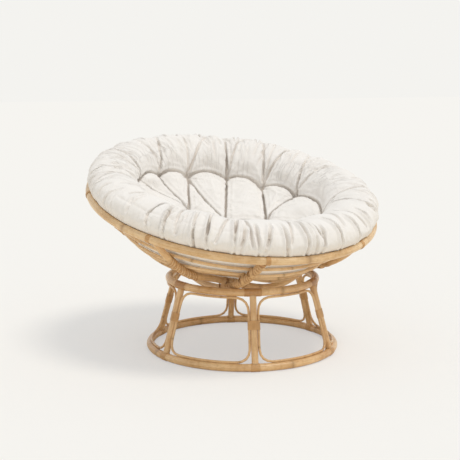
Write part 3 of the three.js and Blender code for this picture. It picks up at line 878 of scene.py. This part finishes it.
def makeBowlBindings():
    rimAzimuths = []
    for x in bowl["polesX"]:
        side = math.degrees(math.asin(x / bowl["rimRadius"]))
        rimAzimuths += [side, 180 - side]
    for y in bowl["polesY"]:
        side = math.degrees(math.acos(-y / bowl["rimRadius"]))
        rimAzimuths += [side, -side]
    for k, azimuth in enumerate(rimAzimuths):
        place = frameOf(rimSpot(azimuth), bowlTurn @ heading(azimuth), bowlTurn @ heading(azimuth + 90))
        ringBinding("rim", k, bowl["rimPole"], 32, place, peelBand)
    for k, (radius, azimuth) in enumerate(zip(bowl["hoopRadii"], bowlBindings["hoopAzimuths"])):
        middle, ahead = (bowlPoint(hoopWay(radius, azimuth + more), hoopMiddle, bowl["hoopDip"])
                         for more in (0, 2))
        place = frameOf(middle, bowlTurn @ hoopWay(radius, azimuth), ahead - middle)
        ringBinding("hoop", k, bowl["hoopRod"], 20, place, paleLash)
    inside = poleMiddle - bowl["outerDip"] - bowlBindings["crossingDrop"] - bowlBindings["clearance"]
    canes = crossingLoops(-bowlBindings["halfCrossing"], bowlBindings["halfCrossing"], bowl["pole"])
    for k, way in enumerate(crossings):
        ways = [bowlTurn @ across.normalized() for across in
                (Vector((1, 0, 0)).cross(way), way.cross(Vector((0, 1, 0))))]
        middle = bowl["matrix"] @ (way * inside)
        pieces = lash(f"crossingLash{k + 1}", middle, bowlTurn @ -way, ways, canes, *bowlBindings["crossing"])
        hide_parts(f"crossing_binding_{k + 1}")
    print("bowl bindings are wound")


def makeHoopLashes():
    # small crossed windings where each hoop passes over a pole
    poles = [(x, True, bowl["outerDip"]) for x in bowl["polesX"]]
    poles += [(y, False, bowl["innerDip"]) for y in bowl["polesY"]]
    places = [(*pole, radius, side) for pole in poles for radius in bowl["hoopRadii"] for side in (-1, 1)]
    count = 0
    for offset, alongY, dip, radius, side in places:
        reach = side * math.sqrt(radius ** 2 - offset ** 2)
        x, y = (offset, reach) if alongY else (reach, offset)
        way = underBowl(x, y, hoopMiddle)
        poleSpot = bowlPoint(way, poleMiddle, dip)
        hoopSpot = bowlPoint(way, hoopMiddle, bowl["hoopDip"])
        apart = (poleSpot - hoopSpot).length
        inward = (hoopSpot - poleSpot).normalized()
        ways = []
        for along in (Vector((0, 1, 0) if alongY else (1, 0, 0)), Vector((-y, x, 0)).normalized()):
            along = bowlTurn @ along
            ways.append((along - along.dot(inward) * inward).normalized())
        if apart > bowlBindings["lashReach"] or abs(ways[0].dot(ways[1])) > bowlBindings["lashFlat"]:
            continue
        count += 1
        canes = crossingLoops(0.0, apart, bowl["hoopRod"])
        lash(f"hoopLash{count}", poleSpot, inward, ways, canes, *bowlBindings["hoopLash"])
    print("hoop lashes are wound:", count)


windings = {
    # pole offset, along Y, from and to along the pole
    # then its layers: strand, thickness, lean, how full, finish
    # the dark peel layers, sparse over the pale strands or under the pale cross layers, are painted shade in
    # the gaps between the strands
    "spans": [
        (bowl["polesX"][0], True, -0.497, -0.292, [(0.0046, 0.0014, 0.42, 0.90, darkPeelAndGapShade),
                                                   (0.0125, 0.0028, -0.70, 0.46, rimCane),
                                                   (0.0125, 0.0024, 0.70, 0.26, rodCane)]),
        (bowl["polesY"][0], False, -0.385, -0.275, [(0.0050, 0.0016, 0.40, 0.84, paleLash),
                                                    (0.0110, 0.0030, -0.60, 0.34, darkPeelAndGapShade)]),
        (bowl["polesY"][0], False, -0.128, -0.052, [(0.0050, 0.0016, -0.40, 0.84, paleLash),
                                                    (0.0110, 0.0030, 0.55, 0.34, darkPeelAndGapShade)]),
    ],
    "patch": 0.028,
    "step": 0.004,
    "collar": 4,
    "collarLayer": (0.0046, 0.0014, 0.0, 0.9, paleLash),
    "collarGap": 0.030,
}


def windPole(name, offset, alongY, walk, strands, layer):
    # a short close winding round one pole
    strand, thickness, slant, full, material = layer
    spot, inward = poleSpotAt(offset, alongY, walk)
    ahead, _ = poleSpotAt(offset, alongY, walk + windings["step"])
    outline = circleOutline(bowl["pole"] + bowlBindings["clearance"] + thickness / 2, 28)
    windPeel(name, outline, frameOf(spot, inward, ahead - spot), strands, strand, thickness, "bowl", material,
             slant=slant, full=full)


def poleSpotAt(offset, alongY, walk):
    arc = math.sqrt(poleMiddle ** 2 - offset ** 2)
    side = Vector((offset, walk, 0)) if alongY else Vector((walk, offset, 0))
    side.z = -math.sqrt(arc ** 2 - walk ** 2)
    way = side.normalized()
    return bowlPoint(way, poleMiddle, bowl["outerDip"] if alongY else bowl["innerDip"]), bowlTurn @ -way


def makeWindings():
    count = collars = 0
    for offset, alongY, first, last, layers in windings["spans"]:
        arc = math.sqrt(poleMiddle ** 2 - offset ** 2)
        start, end = math.asin(first / arc), math.asin(last / arc)
        patches = max(1, round((end - start) * arc / windings["patch"]))
        for layer in layers:
            strands = max(1, round((end - start) * arc / patches / layer[0]))
            for k in range(patches):
                walk = arc * math.sin(start + (end - start) * (k + 0.5) / patches)
                count += 1
                windPole(f"poleWinding{count}", offset, alongY, walk, strands, layer)
    # the wound crossing has no collars
    bare = [(x, y) for x in bowl["polesX"] for y in bowl["polesY"]][1:]
    for x, y in bare:
        for alongY, fixed, walk in ((True, x, y), (False, y, x)):
            for gap in (-windings["collarGap"], windings["collarGap"]):
                collars += 1
                windPole(f"collar{collars}", fixed, alongY, walk + gap, windings["collar"],
                         windings["collarLayer"])
    print("pole windings are made:", count, "and collars:", collars)


makeBowl()
makeBowlBindings()
makeHoopLashes()
makeWindings()


# Cushion: its shape is counted in the bowl's own frame, with heights from the plane of the rim

cushion = {
    "side": [(0, -0.080), (0.153, -0.060), (0.306, -0.018), (0.391, 0.070), (0.466, 0.096), (0.516, 0.084),
             (0.545, 0.050), (0.543, 0.020), (0.523, 0.001)],
    "crestAt": 4,
    "underside": 0.5868,
    "underReach": 0.489,
    "topSpacing": 0.0070,
    "underSpacing": 0.015,
    "outerTufts": [(0.322, -176), (0.316, 155), (0.308, 128), (0.320, 101), (0.331, 57), (0.318, 28),
                   (0.312, 0), (0.312, -28), (0.318, -56), (0.328, -82), (0.340, -107), (0.352, -130),
                   (0.338, -152)],
    "innerTufts": [(0.030, 180), (0.165, -138), (0.142, 74), (0.150, -70), (0.150, -5)],
    # tufts that a seam joins, by their places in outerTufts and then innerTufts
    "innerSeams": [(0, 14), (12, 14), (11, 14), (0, 13), (1, 13), (2, 15), (3, 15), (4, 15), (5, 15),
                   (5, 17), (6, 17), (7, 17), (7, 16), (8, 16), (9, 16), (10, 14), (10, 16), (13, 14),
                   (13, 15), (13, 16), (13, 17), (15, 17), (16, 17), (16, 14)],
    # from an outer tuft outwards: its azimuth, azimuth at the end, how far over the roll, depth
    # over the roll 1 is the crest and 2 the neck
    "outSeams": [(-176, -180, 0.86, 0.7), (-176, 166, 1.05, 0.9), (155, 158, 1.1, 1.0),
                 (155, 149, 1.0, 0.6), (128, 138, 1.05, 0.9), (128, 131, 0.95, 0.6),
                 (128, 123, 1.1, 0.9), (101, 113, 1.1, 0.9), (101, 95, 1.0, 0.7), (57, 70, 1.1, 0.9),
                 (57, 48, 1.3, 1.0), (28, 33, 1.4, 0.9), (28, 19, 1.2, 0.7), (0, 6, 1.5, 0.9),
                 (0, -8, 1.4, 0.8), (-28, -22, 1.5, 0.8), (-28, -35, 1.5, 0.9), (-56, -50, 1.5, 0.9),
                 (-56, -63, 1.3, 0.8), (-82, -78, 1.0, 0.9), (-82, -89, 0.9, 0.6),
                 (-107, -103, 1.0, 0.8), (-107, -113, 1.1, 0.8), (-130, -137, 1.1, 1.0),
                 (-130, -124, 0.9, 0.6), (-152, -167, 1.05, 0.9), (-152, -154, 0.9, 0.7)],
    # azimuth at the crest and at the neck, where it starts and ends over the roll, depth in metres
    "pleats": [(-56, -54, 0.93, 1.95, 0.013), (-45.5, -43, 0.95, 2.0, 0.012),
               (-40, -37.5, 0.92, 2.0, 0.014), (-29, -28.5, 0.95, 2.0, 0.014),
               (-25, -26.5, 1.05, 2.0, 0.009), (-21, -19, 1.0, 2.0, 0.010),
               (-15, -17.5, 1.0, 2.0, 0.009), (-10.5, -8, 0.98, 2.0, 0.011), (-3, -1, 0.95, 2.0, 0.013),
               (1.5, 3.5, 0.95, 2.0, 0.011), (7, 5, 1.1, 2.0, 0.008), (13, 16, 0.95, 1.95, 0.011),
               (24, 25, 1.0, 2.0, 0.010), (37, 36, 1.0, 2.0, 0.010), (49, 51, 1.0, 1.9, 0.009),
               (63, 61, 1.0, 2.0, 0.010), (78, 80, 1.0, 2.0, 0.009), (90, 88, 1.0, 1.9, 0.010),
               (107, 108, 1.0, 2.0, 0.010), (121, 119, 1.0, 2.0, 0.009), (140, 141, 1.0, 2.0, 0.010),
               (152, 150, 1.0, 1.9, 0.009), (169, 170, 1.0, 2.0, 0.010), (-171, -173, 1.0, 2.0, 0.010),
               (-158, -156, 1.0, 2.0, 0.009), (-146, -147, 1.0, 1.9, 0.009),
               (-133, -131, 1.0, 2.0, 0.010), (-119, -120, 1.0, 1.9, 0.008),
               (-99, -97, 1.05, 1.9, 0.008), (-84, -85, 1.1, 1.8, 0.006)],
    "seamDepth": 0.034,
    "tuftDepth": 0.020,
    "swell": 0.010,
    "clothFrames": 24,
    "clothReach": 0.018,
    "cloth": {"quality": 5, "mass": 0.3, "tension_stiffness": 15, "compression_stiffness": 15,
              "shear_stiffness": 5, "bending_stiffness": 0.02, "use_pressure": True,
              "uniform_pressure_force": 5.0, "shrink_min": -0.03, "shrink_max": -0.12,
              "vertex_group_shrink": "spare", "vertex_group_mass": "sewn"},
    "widest": 0.562,
    "rimGap": 0.0015,
    # how many small pleats, their azimuths, starts and lengths over the roll, lean and depth
    "smallPleats": [(46, (50, 320), (0.9, 1.35), (0.3, 0.8), 4, (0.003, 0.006)),
                    (64, (95, 250), (0.74, 0.92), (0.15, 0.4), 5, (0.002, 0.0045))],
}

sewing = {
    # sharp and wide reach of a seam in metres, and the share of the sharp one
    "firstPull": (0.009, 0.036, 0.50),
    "held": (0.0045, 0.042, 1.0),
    "heldOver": 0.55,
    "stitch": (0.0028, 0.014, 0.88),
    "stitchDepth": 0.0165,
    # sharp and wide reach of the painted shade along a seam, and the share of the sharp one
    "creaseShade": (0.0020, 0.02, 1.0),
    "outShare": 0.6,
    "ringSeam": 0.80,
    "ringBow": 0.020,
    "innerSeam": 0.95,
    "innerBow": 0.13,
    "lip": 0.0075,
    "lipAt": 0.0095,
    "lipWidth": 0.0045,
    "fan": 0.0040,
    "tuftPull": 0.020,
    # reach of the painted shade round a tuft
    "tuftShade": 0.005,
    # the seam along the outside of the roll
    "edgeOver": 1.36,
    "edgeAzimuths": (-80, 20),
    "edgeDepths": (0.24, 0.10),
    # sharp reach of a pleat and the height of the lip beside it
    "firstPleat": (0.012, 0.0),
    "firstPleatShare": 0.22,
    "pleat": (0.0030, 0.45),
    "pleatShare": 2.1,
    # reach of the painted shade in a pleat, and the pleat depth at which it is full
    "pleatShade": (0.0022, 0.0),
    "pleatShadeDepth": 0.013,
    "pleatLipAt": 0.010,
    "pleatLipWidth": 0.005,
    "pleatWander": 0.0016,
    "deepest": -0.024,
    "bulge": 0.0012,
    "neckRadius": 0.47,
    "neckHeight": 0.075,
    "rollRadius": 0.29,
}


def smoothLine(points, steps):
    # Catmull-Rom line through the points
    ends = [2 * Vector(points[0]) - Vector(points[1])] + [Vector(p) for p in points]
    ends.append(2 * ends[-1] - ends[-2])
    line = []
    for k in range(1, len(ends) - 2):
        a, b, c, d = ends[k - 1:k + 3]
        for n in range(steps):
            t = n / steps
            line.append(0.5 * (2 * b + (c - a) * t + (2 * a - 5 * b + 4 * c - d) * t ** 2
                               + (3 * b - a - 3 * c + d) * t ** 3))
    return line + [ends[-2]]


sideLine = smoothLine(cushion["side"], 24)
sideLength = [0.0]
for before, after in zip(sideLine, sideLine[1:]):
    sideLength.append(sideLength[-1] + (after - before).length)
sideLength = np.array(sideLength)
sideRadius = np.array([p[0] for p in sideLine])
sideHeight = np.array([p[1] for p in sideLine])
crestLength = sideLength[cushion["crestAt"] * 24]
wholeLength = sideLength[-1]


def onTop(reach, degrees):
    # places on the smooth top: reach is the length walked out from the middle of the dish
    angle = np.radians(degrees)
    radius = np.interp(reach, sideLength, sideRadius)
    height = np.interp(reach, sideLength, sideHeight) - bowl["rimDrop"]
    return np.stack([radius * np.sin(angle), -radius * np.cos(angle), height], axis=-1)


def reachOf(over):
    # 1 is the crest of the roll and 2 the neck inside the rim
    if over <= 1:
        return over * crestLength
    return crestLength + (over - 1) * (wholeLength - crestLength)


def seamRun(startReach, startAzimuth, endReach, endAzimuth, bow=0.0, steps=10):
    t = np.linspace(0, 1, steps + 1)
    turn = (endAzimuth - startAzimuth + 180) % 360 - 180
    return onTop(startReach + (endReach - startReach) * t + bow * 4 * t * (1 - t), startAzimuth + turn * t)


def tuftReach(radius):
    rising = cushion["crestAt"] * 24
    return float(np.interp(radius, sideRadius[:rising + 1], sideLength[:rising + 1]))


def allSeams():
    # each seam is a run of points and its depth at both ends
    seams = []
    outer = cushion["outerTufts"]
    tufts = outer + cushion["innerTufts"]
    reachAt = {azimuth: tuftReach(radius) for radius, azimuth in outer}
    for (r1, a1), (r2, a2) in zip(outer, outer[1:] + outer[:1]):
        run = seamRun(tuftReach(r1), a1, tuftReach(r2), a2, bow=sewing["ringBow"])
        seams.append((run, sewing["ringSeam"], sewing["ringSeam"]))
    for first, second in cushion["innerSeams"]:
        p, q = (heading(azimuth) * radius for radius, azimuth in (tufts[first], tufts[second]))
        side = Vector((-(q - p).y, (q - p).x, 0)) * random.uniform(-sewing["innerBow"], sewing["innerBow"])
        run = []
        for k in range(11):
            spot = p.lerp(q, k / 10) + side * (4 * k / 10 * (1 - k / 10))
            run.append(onTop(tuftReach(spot.length), math.degrees(math.atan2(spot.x, -spot.y))))
        seams.append((np.array(run), sewing["innerSeam"], sewing["innerSeam"]))
    for start, end, over, depth in cushion["outSeams"]:
        seams.append((seamRun(reachAt[start], start, reachOf(over + 0.12), end), depth, 0.45 * depth))
    return seams


def nearRun(spots, run, room=0.11):
    # distance from each spot to the run, and how far along it; spots farther off than room are left at 9 m
    best, along = np.full(len(spots), 9.0), np.zeros(len(spots))
    close = np.all((spots > run.min(axis=0) - room) & (spots < run.max(axis=0) + room), axis=1)
    if len(spots) > close.sum() > 0:
        best[close], along[close] = nearRun(spots[close], run, 9.0)
        return best, along
    if not close.any():
        return best, along
    count = len(run) - 1
    for k in range(count):
        a, b = run[k], run[k + 1]
        edge = b - a
        t = np.clip((spots - a) @ edge / max(edge @ edge, 1e-12), 0, 1)
        gap = np.linalg.norm(spots - a - t[:, None] * edge, axis=1)
        closer = gap < best
        best[closer] = gap[closer]
        along[closer] = (k + t[closer]) / count
    return best, along


def smoothNoise(spots, size, seed):
    # even, soft noise between -1 and 1, made of a few seeded waves
    rng = np.random.default_rng(seed)
    total = np.zeros(len(spots))
    for k in range(14):
        way = rng.normal(size=3)
        way /= np.linalg.norm(way)
        total += np.sin(spots @ way * (2 * math.pi / size) * rng.uniform(0.6, 1.6) + rng.uniform(0, 6.28))
    return total / 3.4


def ringAngles(radius, spacing, number):
    # every second ring is turned by half a step
    around = max(8, round(2 * math.pi * radius / spacing))
    return (np.arange(around) + 0.5 * (number % 2)) * 360 / around


def cushionRings():
    # rings of points over the top, round the roll and back under to the middle
    rings = []
    count = round(wholeLength / cushion["topSpacing"])
    for k in range(1, count + 1):
        reach = wholeLength * k / count
        angles = ringAngles(float(np.interp(reach, sideLength, sideRadius)), cushion["topSpacing"], k)
        rings.append((angles, onTop(np.full(len(angles), reach), angles)))
    topRings = len(rings)
    radius = cushion["underReach"]
    while radius > cushion["underSpacing"] * 0.8:
        angles = ringAngles(radius, cushion["underSpacing"], len(rings))
        spots = []
        for angle in angles:
            out = heading(angle) * radius
            way = underBowl(out.x, out.y, hoopMiddle)
            spots.append(way * (cushion["underside"] - bowl["hoopDip"] * nearCrossing(way)))
        rings.append((angles, np.array(spots)))
        radius -= cushion["underSpacing"]
    return rings, topRings


def zipRings(first, second, fromA, fromB):
    # triangles between two rings with different counts
    n, m = len(first), len(second)
    i = j = 0
    faces = []
    while i < n or j < m:
        nextA = first[i + 1] if i + 1 < n else first[0] + 360 * ((i + 1) // n)
        nextB = second[j + 1] if j + 1 < m else second[0] + 360 * ((j + 1) // m)
        if j >= m or (i < n and nextA <= nextB):
            faces.append((fromA + i % n, fromA + (i + 1) % n, fromB + j % m))
            i += 1
        else:
            faces.append((fromA + i % n, fromB + (j + 1) % m, fromB + j % m))
            j += 1
    return faces


def cushionMesh():
    rings, topRings = cushionRings()
    starts, total = [], 1
    for angles, places in rings:
        starts.append(total)
        total += len(places)
    spots = [onTop(np.array([0.0]), np.array([0.0])), *(places for angles, places in rings)]
    spots = np.concatenate(spots + [np.array([[0, 0, -cushion["underside"]]])])
    faces = [(0, starts[0] + (k + 1) % len(rings[0][0]), starts[0] + k) for k in range(len(rings[0][0]))]
    for k in range(len(rings) - 1):
        faces += zipRings(rings[k][0], rings[k + 1][0], starts[k], starts[k + 1])
    last = len(rings[-1][0])
    faces += [(starts[-1] + k, starts[-1] + (k + 1) % last, total) for k in range(last)]
    mesh = bpy.data.meshes.new("cushion")
    mesh.from_pydata(spots.tolist(), [], faces)
    piece = bpy.data.objects.new("seatCushion", mesh)
    bpy.context.scene.collection.objects.link(piece)
    only(piece)
    bpy.ops.object.mode_set(mode="EDIT")
    turnOutward()
    mark(piece, "restPlace", spots)
    mark(piece, "topSide", (np.arange(len(spots)) < starts[topRings]).astype(float))
    return piece


def tuftSpots():
    return [onTop(np.array([tuftReach(radius)]), np.array([azimuth]))[0]
            for radius, azimuth in cushion["outerTufts"] + cushion["innerTufts"]]


def groove(gap, sharp):
    # a narrow V, full within a tenth of its half width
    return np.clip(1.1 - gap / (2.2 * sharp), 0, 1)


def sewnDepth(rest, seams, sharp, wide, share):
    # how far the seams draw each place in
    depth = np.zeros(len(rest))
    for run, atStart, atEnd in seams:
        gap, along = nearRun(rest, run)
        strength = atStart + (atEnd - atStart) * along
        fold = share * groove(gap, sharp) + (1 - share) * np.exp(-(gap / wide) ** 1.3)
        depth = np.maximum(depth, strength * fold)
    return depth


def seamLips(rest, seams):
    # the cloth stands up a little on both sides of a seam
    near, tight = np.full(len(rest), 9.0), np.zeros(len(rest))
    for run, atStart, atEnd in seams:
        gap, along = nearRun(rest, run)
        closer = gap < near
        near[closer] = gap[closer]
        tight[closer] = (atStart + (atEnd - atStart) * along)[closer]
    return tight * np.exp(-((near - sewing["lipAt"]) / sewing["lipWidth"]) ** 2)


def tuftPull(rest, reach):
    pull = np.zeros(len(rest))
    for spot in tuftSpots():
        pull = np.maximum(pull, np.exp(-np.linalg.norm(rest - spot, axis=1) / reach))
    return pull


def tuftFans(rest):
    # small folds that run out from each tuft
    total = np.zeros(len(rest))
    for k, spot in enumerate(tuftSpots()):
        away = rest - spot
        gap = np.linalg.norm(away, axis=1)
        near = gap < 0.16
        outer = k < len(cushion["outerTufts"])
        out = Vector((spot[0], spot[1], 0)).normalized() if outer else Vector((0, 1, 0))
        side = np.array((-out.y, out.x, 0))
        up = np.cross(side, np.array((0, 0, 1.0)))
        angle = np.arctan2(away[near] @ side, away[near] @ up)
        rng = np.random.default_rng(40 + k)
        folds = np.zeros(near.sum())
        for n in range(16):
            middle, width = rng.uniform(-math.pi, math.pi), rng.uniform(0.07, 0.16)
            length = rng.uniform(0.030, 0.085)
            turn = angle - middle + 0.5 * (gap[near] / 0.1) * rng.uniform(-1, 1)
            turn = (turn + math.pi) % (2 * math.pi) - math.pi
            folds += rng.uniform(0.4, 1.0) * np.exp(-(turn / width) ** 2) * np.exp(-(gap[near] / length) ** 2)
        total[near] -= folds * np.minimum(gap[near] / 0.02, 1)
    return total


def pleatRuns():
    # the long pleats over the roll and many small ones between them
    rng = np.random.default_rng(7)
    pleats = list(cushion["pleats"])
    for many, azimuths, starts, lengths, lean, depths in cushion["smallPleats"]:
        for k in range(many):
            at, start = rng.uniform(*azimuths), rng.uniform(*starts)
            pleats.append((at, at + rng.uniform(-lean, lean), start, start + rng.uniform(*lengths),
                           rng.uniform(*depths)))
    runs = []
    for atCrest, atNeck, start, end, depth in pleats:
        run = seamRun(reachOf(start), atCrest, reachOf(end), atNeck, steps=8)
        wander = np.cumsum(rng.normal(0, sewing["pleatWander"], size=(len(run), 3)), axis=0)
        runs.append((run + wander, depth))
    return runs


def pleatDepth(rest, pleats, sharp, lip):
    # a sharp fold with a raised lip beside it, for each pleat over the roll
    low, high = np.zeros(len(rest)), np.zeros(len(rest))
    for run, depth in pleats:
        gap, along = nearRun(rest, run, 0.06)
        ease = depth * np.clip(along / 0.25, 0, 1) * np.clip((1 - along) / 0.12, 0, 1) ** 0.5
        low = np.minimum(low, -ease * groove(gap, sharp))
        beside = np.exp(-((gap - sewing["pleatLipAt"]) / sewing["pleatLipWidth"]) ** 2)
        high = np.maximum(high, ease * lip * beside)
    return low + high


def crumple(piece, held, rolled):
    # the cover swells and wrinkles as cloth, while the seams, the neck and the underside are held
    start = readSpots(piece)
    spare = piece.vertex_groups.new(name="spare")
    for step in range(1, 11):
        spare.add([int(k) for k in np.nonzero(np.round(rolled * 10) == step)[0]], step / 10, "REPLACE")
    group = piece.vertex_groups.new(name="sewn")
    group.add([int(k) for k in np.nonzero(held)[0]], 1.0, "REPLACE")
    cover = piece.modifiers.new("cover", "CLOTH")
    setAll(cover.settings, cushion["cloth"])
    cover.settings.effector_weights.gravity = 0
    cover.collision_settings.use_collision = False
    only(piece)
    for frameNumber in range(1, cushion["clothFrames"] + 1):
        bpy.context.scene.frame_set(frameNumber)
    bpy.ops.object.modifier_apply(modifier="cover")
    bpy.context.scene.frame_set(1)
    moved = readSpots(piece) - start
    size = np.linalg.norm(moved, axis=1)
    far = size > cushion["clothReach"]
    moved[far] *= (cushion["clothReach"] / size[far])[:, None]
    setSpots(piece, start + moved)
    print("cover moved by up to", round(float(size.max()), 4), "m, mean", round(float(size.mean()), 4))


def makeCushion():
    piece = cushionMesh()
    rest, normals, top = readSpots(piece), readSpots(piece, "normal"), readMark(piece, "topSide", 1)
    seams, pleats = allSeams(), pleatRuns()
    fade = fadeAtNeck(rest)
    firstOut = len(seams) - len(cushion["outSeams"])
    share, softer = sewing["outShare"], seams[:firstOut]
    softer += [(run, share * atStart, share * atEnd) for run, atStart, atEnd in seams[firstOut:]]
    depth = sewnDepth(rest, softer, *sewing["firstPull"])
    tufted = cushion["tuftDepth"] * tuftPull(rest, sewing["tuftPull"])
    lift = cushion["swell"] - cushion["seamDepth"] * depth - tufted
    lift += sewing["firstPleatShare"] * pleatDepth(rest, pleats, *sewing["firstPleat"])
    setSpots(piece, rest + normals * (lift * top * fade)[:, None])
    sewn = sewnDepth(rest, seams, *sewing["held"])
    rolled = np.clip((np.hypot(rest[:, 0], rest[:, 1]) - sewing["rollRadius"]) / 0.08, 0, 1)
    crumple(piece, (sewn > sewing["heldOver"]) | (top < 0.5) | (fade < 0.35), rolled)
    setAll(piece.modifiers.new("finer", "SUBSURF"), {"levels": 1, "subdivision_type": "CATMULL_CLARK"})
    applyAll(piece)
    addFolds(piece, seams, pleats)
    placeCushion(piece)


def fadeAtNeck(rest):
    # 0 low on the roll, where the cushion squeezes inside the rim
    height = rest[:, 2] + bowl["rimDrop"]
    radius = np.hypot(rest[:, 0], rest[:, 1])
    outside = np.clip((radius - sewing["neckRadius"]) / 0.03, 0, 1)
    return 1 - outside * np.clip((sewing["neckHeight"] - height) / 0.05, 0, 1)


def addFolds(piece, seams, pleats):
    # the sewn creases, the pleats and the small folds, and the painted shade that darkens the creases
    rest, top = readMark(piece, "restPlace", 3), readMark(piece, "topSide", 1)
    fade = fadeAtNeck(rest)
    over = reachOf(sewing["edgeOver"])
    fromAzimuth, toAzimuth = sewing["edgeAzimuths"]
    sewnSeams = seams + [(seamRun(over, fromAzimuth, over, toAzimuth, steps=24), *sewing["edgeDepths"])]
    sewn = sewnDepth(rest, sewnSeams, *sewing["stitch"]) * (0.84 + 0.16 * smoothNoise(rest, 0.16, 5))
    folds = sewing["lip"] * seamLips(rest, seams) - sewing["stitchDepth"] * sewn
    folds += (sewing["fan"] * tuftFans(rest)
              + sewing["pleatShare"] * pleatDepth(rest, pleats, *sewing["pleat"]) * (0.35 + 0.65 * fade))
    folds = np.maximum(folds, sewing["deepest"]) + sewing["bulge"] * smoothNoise(rest, 0.11, 3)
    setSpots(piece, readSpots(piece) + readSpots(piece, "normal") * (folds * top)[:, None])
    keepClear(piece)
    # painted shade: the fold mark is full along seams, round tufts and in pleats, and darkens the cloth
    # colour there
    crease = np.maximum(sewnDepth(rest, sewnSeams, *sewing["creaseShade"]), tuftPull(rest, sewing["tuftShade"]))
    pleated = -pleatDepth(rest, pleats, *sewing["pleatShade"]) / sewing["pleatShadeDepth"]
    mark(piece, "fold", np.maximum(crease, np.clip(pleated, 0, 1)) * top)


def keepClear(piece):
    # the cloth stays off the rim and inside the room that the solid cushion has
    spots = readSpots(piece)
    radius = np.hypot(spots[:, 0], spots[:, 1])
    height = spots[:, 2] + bowl["rimDrop"]
    outX, outY = (spots[:, axis] / np.maximum(radius, 1e-6) for axis in (0, 1))
    dr, dh = radius - bowl["rimRadius"], height
    gap = np.hypot(dr, dh)
    room = bowl["rimPole"] + cushion["rimGap"]
    push = gap < room
    radius[push] += (room - gap[push]) * dr[push] / gap[push]
    height[push] += (room - gap[push]) * dh[push] / gap[push]
    radius = np.minimum(radius, cushion["widest"])
    spots[:, 0], spots[:, 1], spots[:, 2] = outX * radius, outY * radius, height - bowl["rimDrop"]
    setSpots(piece, spots)


def placeCushion(piece):
    # lays the cloth map, then puts the cushion in the bowl
    rest = readMark(piece, "restPlace", 3)
    radius = np.hypot(rest[:, 0], rest[:, 1])
    loops = np.empty(len(piece.data.loops), dtype=int)
    piece.data.loops.foreach_get("vertex_index", loops)
    walk = radius + np.abs(rest[:, 2] + 0.4) * 0.6 * (radius > 0.40)
    flat = rest[:, :2] * (walk / np.maximum(radius, 1e-4))[:, None]
    piece.data.uv_layers.new(name="cloth").data.foreach_set("uv", flat[loops].ravel())
    piece.data.transform(bowl["matrix"])
    piece.data.update()
    only(piece)
    bpy.ops.object.shade_smooth()
    piece.data.materials.clear()
    piece.data.materials.append(naturalCotton)
    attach(piece, "cushion")
    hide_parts("cushion")
    print("cushion is sewn:", len(piece.data.vertices), "points")


makeCushion()
